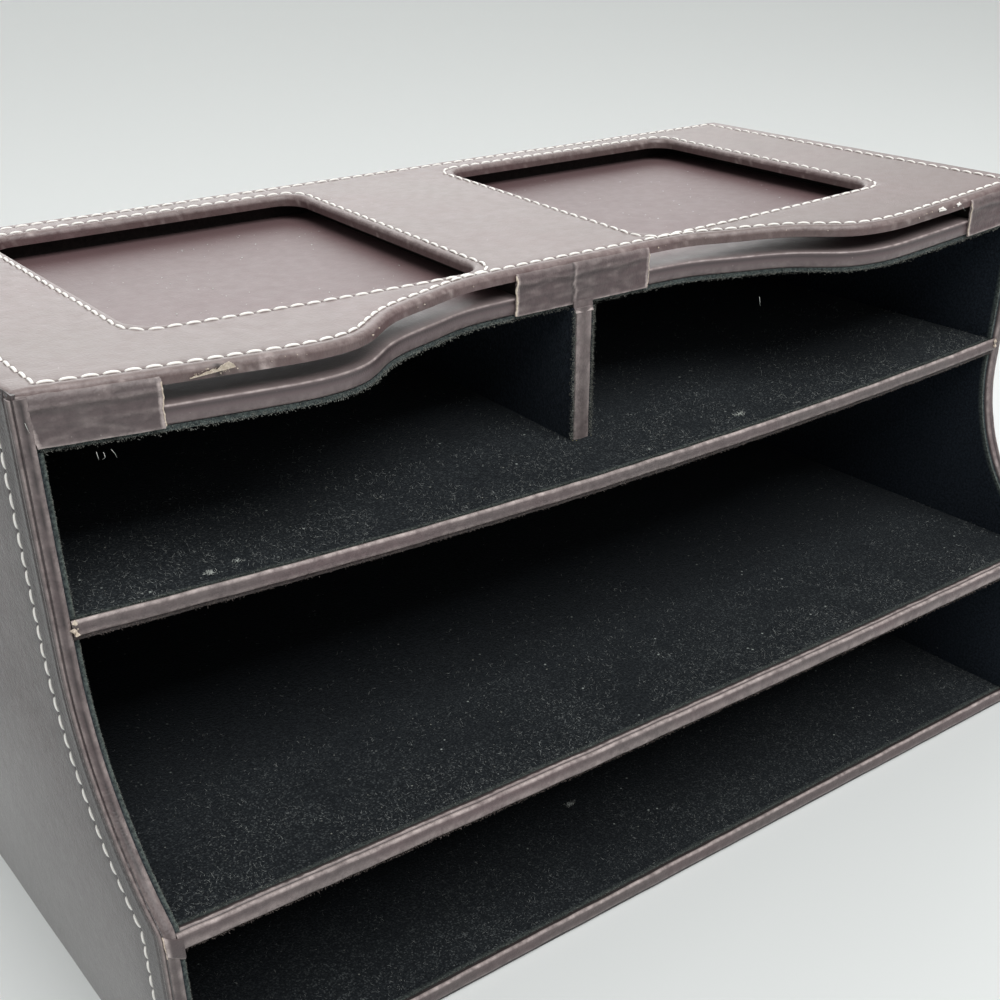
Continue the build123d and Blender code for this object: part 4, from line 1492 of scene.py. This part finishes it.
def crumbs(name, places, size, finish, seed, flat=0.55):
    """Small uneven lumps as one piece."""
    luck = np.random.default_rng(seed)
    points, faces = [], []
    for place in places:
        lump = CRUMB_CORNERS * luck.uniform(0.5, 1.3, (6, 1)) * size * luck.uniform(0.4, 1.3)
        turned = luck.uniform(0, math.pi)
        x = lump[:, 0] * math.cos(turned) - lump[:, 1] * math.sin(turned)
        y = lump[:, 0] * math.sin(turned) + lump[:, 1] * math.cos(turned)
        faces += [tuple(i + len(points) * 6 for i in face) for face in CRUMB_FACES]
        points.append(np.column_stack([x, y, lump[:, 2] * flat]) + place)
    add_piece(name, np.concatenate(points), faces, finish)


print("a crumb has", len(CRUMB_FACES), "faces")

# %% [markdown]
# ## Floor and ceiling linings
# The velvet is glued to the boards, so each lining is a thin sheet of even thickness with a slightly
# uneven pile. A plane with a thickness modifier would do for the flat ones, but floors and ceilings
# sink with their shelf. So each is a slab between two grids, painted with dust towards the front, where
# it collects, and with wear along the raw edge.

# %% Flat lining helper


def flat_lining(name, level, front, amount, nodes, finish, facing=1, seed=0.0):
    """A lining in a horizontal plane. Front may be a number or a function of x."""
    stations = np.linspace(-BOARD_IN, BOARD_IN, 122)
    depth = np.linspace(0, 1, 60)
    upper = np.zeros((len(stations), len(depth), 3))
    for i, x in enumerate(stations):
        near = front(x) if callable(front) else front
        y = near + (BACK_FACE + VELVET - near) * depth ** 1.15
        upper[i, :, 0] = x
        upper[i, :, 1] = y
        upper[i, :, 2] = level - sag(x, y, amount)
    under = upper.copy()
    under[..., 2] -= facing * VELVET
    upper[..., 2] += facing * 0.10 * waves(upper, 12.0, seed).reshape(upper.shape[:2])
    points, faces = slab(upper, under)
    if facing < 0:
        faces = [face[::-1] for face in faces]
    wear = np.zeros(upper.shape[:2])
    wear[:, 0] = 0.35 if facing > 0 else 0.4
    behind_edge = upper[..., 1] - upper[:, :1, 1]
    dust = 0.10 + 0.90 * np.clip((78 - behind_edge) / 60, 0, 1) ** 1.3
    dust *= 1.0 if facing > 0 else 0.0
    add_piece(name, points, faces, finish, nodes,
              np.concatenate([wear.ravel(), wear.ravel()]),
              dust=np.concatenate([dust.ravel(), dust.ravel()]))


# %% [markdown]
# ## The six level linings
# Each compartment has a floor and a ceiling. A floor starts behind the lap of its shelf's edge
# leather, and the upper ceiling follows the curly front.

# %% Floors and ceilings
upper_lap = extent("upper_shelf_edge", Y)[1]
lower_lap = extent("lower_shelf_edge", Y)[1]
bottom_lap = extent("bottom_edge", Y)[1]
flat_lining("upper_floor_velvet", UPPER_FLOOR, upper_lap, TOP_SAG,
            ["upper_floor_lining"], dusty_velvet_finish)
flat_lining("middle_floor_velvet", LOWER_FLOOR, lower_lap, LOWER_SAG,
            ["middle_floor_lining"], dusty_velvet_finish, seed=2.0)
flat_lining("lower_floor_velvet", BOTTOM_TOP, bottom_lap, 0.0,
            ["lower_floor_lining"], dusty_velvet_finish, seed=4.0)
flat_lining("middle_ceiling_velvet", UPPER_FLOOR - SHELF_THICK, upper_lap, TOP_SAG,
            ["middle_ceiling_lining"], lifted_velvet_finish, -1, 6.0)
flat_lining("lower_ceiling_velvet", LOWER_FLOOR - SHELF_THICK, lower_lap, LOWER_SAG,
            ["lower_ceiling_lining"], lifted_velvet_finish, -1, 8.0)
flat_lining("upper_ceiling_velvet", CEILING, lambda x: float(curly(x)) + 0.5, TOP_SAG,
            ["upper_ceiling_lining"], lifted_velvet_finish, -1, 10.0)

# %% [markdown]
# ## Fringes along the shelves
# Raw velvet pokes out behind the laps on top of each shelf, raw leather under them, and the longest
# fringe hangs at the front of the upper ceiling. All lie on lines across the front that sink with
# their layer.

# %% Fringes along the shelves
front_x = np.arange(-BOARD_IN + 1, BOARD_IN - 1, 1.0)


def front_line_at(level, y, amount):
    """A line across the front at a level of a sunken layer."""
    y = y + np.zeros(len(front_x))
    return np.column_stack([front_x, y, level - sag(front_x, y, amount)])


RAW_EDGES = (("upper_floor", UPPER_FLOOR, upper_lap, TOP_SAG, 0.4, 4),
             ("middle_floor", LOWER_FLOOR + 0.1, lower_lap + 0.4, LOWER_SAG, 0.3, 4),
             ("lower_floor", BOTTOM_TOP, bottom_lap, 0.0, 0.4, 4))
for number, (name, level, y, amount, length, many) in enumerate(RAW_EDGES):
    fringe(f"{name}_fringe", scattered(front_line_at(level, y, amount), many, number, 0.16),
           (0, -0.6, 0.7), fuzz_and_sheen_finish, length, number + 10)
UNDER_EDGES = (("upper_shelf", UPPER_FLOOR - 3.9, upper_lap - 1.35, TOP_SAG),
               ("lower_shelf", LOWER_FLOOR - 4.4, lower_lap - 2.7, LOWER_SAG))
for number, (name, level, y, amount) in enumerate(UNDER_EDGES):
    fringe(f"{name}_under_fringe", scattered(front_line_at(level, y, amount), 12, number + 5, 0.22),
           (0, -0.8, -0.3), under_fuzz_finish, 0.5, number + 20, 0.08)
ceiling_front = front_line_at(CEILING + 0.2, curly(front_x) + 0.45, TOP_SAG)
fringe("ceiling_fringe", scattered(ceiling_front, 16, 9, 0.3), (0, -1, -0.2), fuzz_and_sheen_finish, 0.5, 30)

# %% [markdown]
# ## Wall and back linings
# The walls' velvet ends just behind the scooped edge, so its front follows the side profile at each
# height. Each row of the grid starts there and runs to the back. A boolean with the scoop would give
# the same outline but no clean rows for the worn front edge and its fringe.

# %% Wall and back linings
levels_of = (("lower", BOTTOM_TOP, LOWER_FLOOR - SHELF_THICK),
             ("middle", LOWER_FLOOR, UPPER_FLOOR - SHELF_THICK),
             ("upper", UPPER_FLOOR, CEILING))
profile = side_path(RAW_EDGE_SETBACK, TOP, 0.4)[::-1]
for name, bottom, top in levels_of:
    heights = np.linspace(bottom, top, 40)
    fronts = np.interp(heights, profile[:, 1], profile[:, 0])
    depth = np.linspace(0, 1, 40) ** 1.2
    for side, out in (("left", -1), ("right", 1)):
        face = np.zeros((len(heights), len(depth), 3))
        face[..., 0] = out * WALL
        face[..., 1] = fronts[:, None] + (BACK_FACE + VELVET - fronts[:, None]) * depth[None]
        face[..., 2] = heights[:, None]
        behind_face = face.copy()
        behind_face[..., 0] = out * BOARD_IN
        face[..., 0] -= out * 0.08 * (1 + waves(face, 10.0, 1.0).reshape(face.shape[:2]))
        points, faces = slab(face, behind_face)
        if out > 0:
            faces = [f[::-1] for f in faces]
        wear = np.zeros(face.shape[:2])
        wear[:, 0] = 0.75
        add_piece(f"{side}_{name}_wall_velvet", points, faces, lifted_velvet_finish,
                  [f"{side}_{name}_wall_lining"], np.concatenate([wear.ravel(), 0 * wear.ravel()]))
        fringe(f"{side}_{name}_wall_fringe", scattered(face[:, 0], 9, 40 + out, 0.05),
               (-0.4 * out, -1, 0), fuzz_and_sheen_finish, 0.3, 41, 0.05)
    stations = np.linspace(-WALL, WALL, 100)
    face = np.zeros((len(heights), len(stations), 3))
    face[..., 0] = stations[None]
    face[..., 1] = BACK_FACE
    face[..., 2] = heights[:, None]
    behind_face = face.copy()
    behind_face[..., 1] += VELVET
    face[..., 1] -= 0.08 * (1 + waves(face, 12.0, 5.0).reshape(face.shape[:2]))
    points, faces = slab(face, behind_face)
    add_piece(f"{name}_back_velvet", points, [f[::-1] for f in faces], lifted_velvet_finish,
              [f"{name}_back_lining"])

# %% [markdown]
# ## The divider's velvet
# Both faces of the divider are lined. The sheets sink with the shelf below and the pocket above, and
# the raw ends beside the leather strip have a fringe on each side.

# %% Divider velvet
for side, out in (("left", -1), ("right", 1)):
    heights = np.linspace(0, 1, 30)
    depth = np.linspace(divider_front + 0.6, BACK_FACE, 50)
    face = np.zeros((len(heights), len(depth), 3))
    face[..., 0] = out * 3.4
    face[..., 1] = depth[None]
    face[..., 2] = UPPER_FLOOR + (CEILING - UPPER_FLOOR) * heights[:, None]
    face[..., 2] -= sag(0, face[..., 1], TOP_SAG)
    behind_face = face.copy()
    behind_face[..., 0] = out * 2.3
    face[..., 0] += out * 0.06 * waves(face, 9.0, 3.0).reshape(face.shape[:2])
    points, faces = slab(face, behind_face)
    if out < 0:
        faces = [f[::-1] for f in faces]
    add_piece(f"divider_{side}_velvet", points, faces, lifted_velvet_finish,
              [f"divider_{side}_lining"])

divider_line = np.column_stack([np.zeros(20), np.full(20, divider_front + 0.5),
                                np.linspace(divider_bottom + 0.4, divider_top - 0.4, 20)])
for side, out in (("left", -1), ("right", 1)):
    fringe(f"divider_{side}_fringe", scattered(divider_line + (out * 3.1, 0, 0), 30, 60 + out, 0.3),
           (0.4 * out, -1, 0), fuzz_and_sheen_finish, 0.6, 62 + out)

# %% [markdown]
# ## The tear in the front roll
# On the left of the top the leather of the roll has torn, and a pale flap of its core stands up. A
# painted patch would stay flat, so the flap is a small slab: it rises along its length, leans out and
# has a crinkled upper edge.

# %% Tear in the front roll
TEAR_START = -119.6
TEAR_LENGTH = 8.6
u, v = np.meshgrid(np.linspace(0, 1, 24), np.linspace(0, 1, 8), indexing="ij")
flap_x = TEAR_START + TEAR_LENGTH * u + 0.8 * v * u
rise = 0.35 + 1.5 * u ** 1.5 * (1 - np.clip((u - 0.85) / 0.15, 0, 1) ** 2)
flap = np.stack([flap_x, curly(flap_x) - 0.28 - 0.65 * v * u,
                 TOP - 2.7 + 0.9 * u - sag(flap_x, curly(flap_x), TOP_SAG) + rise * v], axis=2)
flap[..., 2] += 0.5 * waves(flap, 0.9, 6.0).reshape(flap.shape[:2]) * v
flap[..., 1] += 0.25 * waves(flap, 0.8, 9.0).reshape(flap.shape[:2]) * v
flap_under = flap + (0, 0.26, -0.06)
points, faces = slab(flap, flap_under)
add_piece("torn_flap", points, [f[::-1] for f in faces], core_finish,
          wear=np.zeros(len(points)))
tear_x = np.linspace(-118.5, -111.5, 14)
tear = np.column_stack([tear_x, curly(tear_x) - .1, TOP - 2.0 - sag(tear_x, -52.6, TOP_SAG)])
fringe("tear_fibres", scattered(tear, 5, 3, 0.25), (0, -1, 0.2), core_finish, 0.7, 31, 0.06)

# %% [markdown]
# ## Chips and glue
# The ends of the upper shelf's strip and the left tab's top corner are chipped to the pale core, and a
# little glue has dried at the divider's foot. Their places are few and known, so they are written down.

# %% Chips and glue
chips = [(-150.6, -52.3, 119.9), (-150.3, -52.5, 118.6), (-150.7, -52.4, 117.3),
         (-150.9, -52.2, 118.2), (150.3, -52.2, 119.6), (150.6, -52.3, 118.0),
         (-152.6, -50.2, 165.9), (-153.4, -49.8, 165.6), (-153.9, -49.2, 165.3)]
crumbs("chipped_ends", np.array(chips), 0.75, core_finish, 33, 1.0)
glue_spots = np.array([(-3.0, -29.9, 116.1), (-2.2, -30.4, 116.0), (2.6, -30.6, 116.0),
                       (3.5, -29.9, 116.1), (0.4, -30.7, 115.95), (-3.9, -28.7, 116.1)])
crumbs("divider_glue", glue_spots, 0.6, glue_finish, 34, 0.6)

# %% [markdown]
# ## Tufts of lint
# Four small tufts lie on the floors. Each is a cloud of fine pale hairs that point every way.

# %% Tufts of lint
TUFTS = ((46.5, -43.5, 116.6, 0.8, 60), (-118.3, -46.6, 118.9, 0.9, 50), (-10.6, -41.7, 5.9, 0.8, 60),
         (-110.5, -44.8, 118.7, 0.5, 24))
tuft_roots = np.concatenate([np.random.default_rng(i).normal((x, y, z), (size, size * 0.6, 0.12),
                                                             (count, 3))
                             for i, (x, y, z, size, count) in enumerate(TUFTS)])
fringe("lint_tufts", tuft_roots, (0, 0, 0.6), lint_finish, 1.0, 35, 0.045, stray=1.0)

# %% [markdown]
# ## Loose nap on the floors
# Handling has raised single hairs of the pile, many near the front and few at the back. They catch the
# light as fine strokes, which dots in a material can't do, and their pale colour is a painted sheen of
# that light. Their roots are drawn at random, with the count falling off behind the front edge, and
# soft noise leaves worn patches bare.

# %% Loose nap
NAP_LENGTH = 1.15
NAP = (("upper", UPPER_FLOOR, upper_lap, TOP_SAG), ("middle", LOWER_FLOOR, lower_lap, LOWER_SAG),
       ("lower", BOTTOM_TOP, bottom_lap, 0.0))
for number, (name, level, y, amount) in enumerate(NAP):
    nap_luck = np.random.default_rng(number + 70)
    count = 3500 if name == "lower" else 8000
    nap_x = nap_luck.uniform(-WALL + 0.5, WALL - 0.5, count)
    nap_y = y + 0.6 + nap_luck.exponential(26, count)
    thin = waves(np.column_stack([nap_x, nap_y, nap_x * 0]), 16.0, number + 3.0) > -0.15
    keep = thin & (nap_y < BACK_FACE - 2) & ((np.abs(nap_x) > 4) | (name != "upper"))
    nap_x, nap_y = nap_x[keep], nap_y[keep]
    nap = np.column_stack([nap_x, nap_y, level + 0.12 - sag(nap_x, nap_y, amount)])
    fringe(f"{name}_floor_nap", nap, (0, -0.1, 0.2), nap_sheen_finish, NAP_LENGTH, number + 80,
           0.042, stray=0.8)

# %% [markdown]
# ## Specks of lint
# Small crumbs of lint lie on the three floors and on the pocket floor under the windows. One set of
# random places serves the three floors, turned round for the middle one.

# %% Specks of lint
luck = np.random.default_rng(36)
speck_x = luck.uniform(-145, 145, 260)
speck_behind = luck.exponential(24, 260) + 3
speck_y = -50 + speck_behind
specks = np.column_stack([speck_x, speck_y, UPPER_FLOOR + 0.1 - sag(speck_x, speck_y, TOP_SAG)])
crumbs("upper_floor_lint", specks[speck_behind < 110][::2], 0.24, fuzz_and_sheen_finish, 37)
turned_x = speck_x[::-1]
middle_y = LOWER_FRONT + 5 + speck_behind * 1.3
middle = np.column_stack([turned_x, middle_y,
                          LOWER_FLOOR + 0.1 - sag(turned_x, middle_y, LOWER_SAG)])
crumbs("middle_floor_lint", middle[middle_y < 70][::2], 0.24, fuzz_and_sheen_finish, 38)
low = np.column_stack([speck_x, LOWER_FRONT + 5 + speck_behind, np.full(260, BOTTOM_TOP + 0.1)])
crumbs("lower_floor_lint", low[::3], 0.22, fuzz_and_sheen_finish, 39)
window_x = np.concatenate([luck.uniform(-116, -28, 70), luck.uniform(28, 116, 70)])
window_y = luck.uniform(-18, 66, 140)
window_specks = np.column_stack([window_x, window_y,
                                 POCKET_TOP + 0.12 - sag(window_x, window_y, TOP_SAG)])
crumbs("pocket_lint", window_specks, 0.22, lint_finish, 42, 0.3)

# %% [markdown]
# ## Loose ends and scuffs
# A few long fibres hang from the tabs and the ceiling, and flakes of core show along the front roll.
# Two white scuffs sit at its right end.

# %% Loose ends and scuffs
loose = np.array([(-152.9, -52.9, 162.5), (-140.0, -51.0, 153.2), (-138.6, -51.0, 152.8),
                  (-137.0, -51.0, 153.0), (40.5, -52.0, 152.2), (119.6, -53.6, 164.6)])
fringe("loose_fibres", loose, (0.15, -0.3, -1.0), lint_finish, 3.4, 43, 0.05, 0.4)
rubs = luck.uniform(-120, 120, 46)
chip_heights = TOP - 0.9 - luck.uniform(0, 1.2, 46) - sag(rubs, curly(rubs), TOP_SAG)
front_chips = np.column_stack([rubs, curly(rubs) - 0.25, chip_heights])
front_chips = front_chips[np.abs(rubs) > 24]
crumbs("front_roll_flakes", front_chips[::2], 0.26, core_finish, 44, 0.8)
scuff_x = np.concatenate([luck.normal(111.5, 1.0, 16), luck.normal(119.2, 0.25, 8)])
scuffs = np.column_stack([scuff_x, curly(scuff_x) - 0.2, TOP - 0.9 - luck.uniform(0, 0.9, 24)
                          - sag(scuff_x, curly(scuff_x), TOP_SAG)])
crumbs("right_roll_scuffs", scuffs, 0.5, thread_finish, 45, 0.8)

# %% [markdown]
# ## Back and base
# The back is one plain sheet of leather, rounded down a little at its rim, and the base is a sheet of
# felt, so that the organiser doesn't scratch. Both could stay flat planes, but even a hidden side has
# a soft wobble where glue pulls the sheet, so they are slabs with a little noise.

# %% Back cover and base felt
face = np.zeros((60, 90, 3))
face[..., 0] = np.linspace(-HALF_WIDTH, HALF_WIDTH, 90)[None]
face[..., 2] = np.linspace(0, COVER_TOP, 60)[:, None]
face[..., 1] = BACK
rim = np.minimum(np.minimum(HALF_WIDTH - np.abs(face[..., 0]), COVER_TOP - face[..., 2]),
                 face[..., 2] + 2)
face[..., 1] -= 0.12 * (1 + waves(face, 30.0, 2.0).reshape(face.shape[:2]))
face[..., 1] -= 0.6 * np.exp(-(rim / 0.6) ** 2)
behind_face = face.copy()
behind_face[..., 1] = BACK - LEATHER
points, faces = slab(face, behind_face)
add_piece("back_leather", points, faces, back_leather_finish, ["back_cover"])

FELT_TOP = 0.8
felt_front, felt_back = extent("base_felt", Y)
face = np.zeros((40, 70, 3))
face[..., 0] = np.linspace(-BOARD_OUT, BOARD_OUT, 70)[None]
face[..., 1] = np.linspace(felt_front, felt_back, 40)[:, None]
face[..., 2] = FELT_TOP
under = face.copy()
under[..., 2] = 0.02 * (1 + waves(face, 8.0, 6.0).reshape(face.shape[:2]))
points, faces = slab(face, under)
add_piece("base_felt_sheet", points, [f[::-1] for f in faces], felt_finish,
          ["base_felt"])

# %% [markdown]
# ## Boards
# The boards keep their construction shape, because leather and velvet hide them. They only need a
# finish: dark as painted shade, so that no pale line shows where leather and velvet meet.

# %% Board finish
# Painted shade: every board and spacer is dark, so gaps between the skins read as shadow.
boards = [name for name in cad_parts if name.endswith(("_board", "_spacer"))]
for name in boards:
    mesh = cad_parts[name].data
    mesh.materials.clear()
    mesh.materials.append(board_shade_finish)
print("boards and spacers:", len(boards))

# %% [markdown]
# ## Table
# The organiser stands on a plain pale table. A round sheet several metres wide has no corner that
# could show in any view, and its soft matt finish takes the organiser's shadow.

# %% Table
TABLE_RADIUS = 4
TABLE_SIDES = 64
floor_tree = Tree("table")
floor_tree.finish(Base_Color=srgb(226, 229, 228), Roughness=0.8, Specular_IOR_Level=0.2)
mesh = bpy.data.meshes.new("table")
ring = [(TABLE_RADIUS * math.cos(2 * math.pi * i / TABLE_SIDES),
         TABLE_RADIUS * math.sin(2 * math.pi * i / TABLE_SIDES), 0) for i in range(TABLE_SIDES)]
mesh.from_pydata([(0, 0, 0)] + ring, [],
                 [(0, 1 + i, 1 + (i + 1) % TABLE_SIDES) for i in range(TABLE_SIDES)])
mesh.materials.append(floor_tree.material)
floor = bpy.data.objects.new("table", mesh)
scene.collection.objects.link(floor)
print("table", 2 * TABLE_RADIUS, "m wide")

# %% [markdown]
# ## Front lamp
# The compartments open towards the viewer, away from the window light. A soft lamp high in front opens
# their shadows. An area lamp gives a soft edge, where a point lamp would draw hard shadows of the
# shelves.

# %% Front lamp


def soft_panel(name, toward, distance, size, power):
    """A rectangular soft light that looks at the organiser from a direction (azimuth, height)."""
    azimuth, height = (math.radians(v) for v in toward)
    place = Vector((math.sin(azimuth) * math.cos(height), math.cos(azimuth) * math.cos(height),
                    math.sin(height))) * distance
    lamp = bpy.data.lights.new(name, "AREA")
    lamp.shape = "RECTANGLE"
    lamp.size, lamp.size_y = size
    lamp.energy = power
    panel = bpy.data.objects.new(name, lamp)
    panel.location = place + Vector((0, 0, 0.1))
    panel.rotation_euler = (-place).to_track_quat("-Z", "Y").to_euler()
    scene.collection.objects.link(panel)
    panel.visible_camera = False
    print(name, "of", power, "W at", tuple(round(v, 2) for v in panel.location))


soft_panel("front_lamp", (-176, 58), 1.8, (1.6, 1.2), 31)

# %% [markdown]
# ## Room light
# The room is a sky of even light with a broad soft glow, like a large window behind the organiser. The
# leather on top reflects that glow towards the viewer. A lamp could stand there, but its mirror image
# would have an edge. In the world's own light, brightness simply rises towards the glow.

# %% Room light
ROOM = 0.33
GLOW = 2.8
GLOW_REACH, GLOW_CORE = math.cos(math.radians(41)), 0.985
GLOW_AZIMUTH, GLOW_HEIGHT = math.radians(24), math.radians(30)
glow_way = (math.sin(GLOW_AZIMUTH) * math.cos(GLOW_HEIGHT),
            math.cos(GLOW_AZIMUTH) * math.cos(GLOW_HEIGHT), math.sin(GLOW_HEIGHT))
world = bpy.data.worlds.new("room")
scene.world = world
world.use_nodes = True
sky = world.node_tree
toward = sky.nodes.new("ShaderNodeTexCoord")
along_glow = sky.nodes.new("ShaderNodeVectorMath")
along_glow.operation = "DOT_PRODUCT"
along_glow.inputs[1].default_value = glow_way
glow = sky.nodes.new("ShaderNodeMapRange")
glow.interpolation_type = "SMOOTHSTEP"
for socket, value in (("From Min", GLOW_REACH), ("From Max", GLOW_CORE), ("To Min", ROOM),
                      ("To Max", ROOM + GLOW)):
    glow.inputs[socket].default_value = value
sky.links.new(toward.outputs["Generated"], along_glow.inputs[0])
sky.links.new(along_glow.outputs["Value"], glow.inputs["Value"])
sky.links.new(glow.outputs["Result"], sky.nodes["Background"].inputs["Strength"])
sky.nodes["Background"].inputs["Color"].default_value = srgb(252, 253, 252)
print("room light", ROOM, "glow", GLOW)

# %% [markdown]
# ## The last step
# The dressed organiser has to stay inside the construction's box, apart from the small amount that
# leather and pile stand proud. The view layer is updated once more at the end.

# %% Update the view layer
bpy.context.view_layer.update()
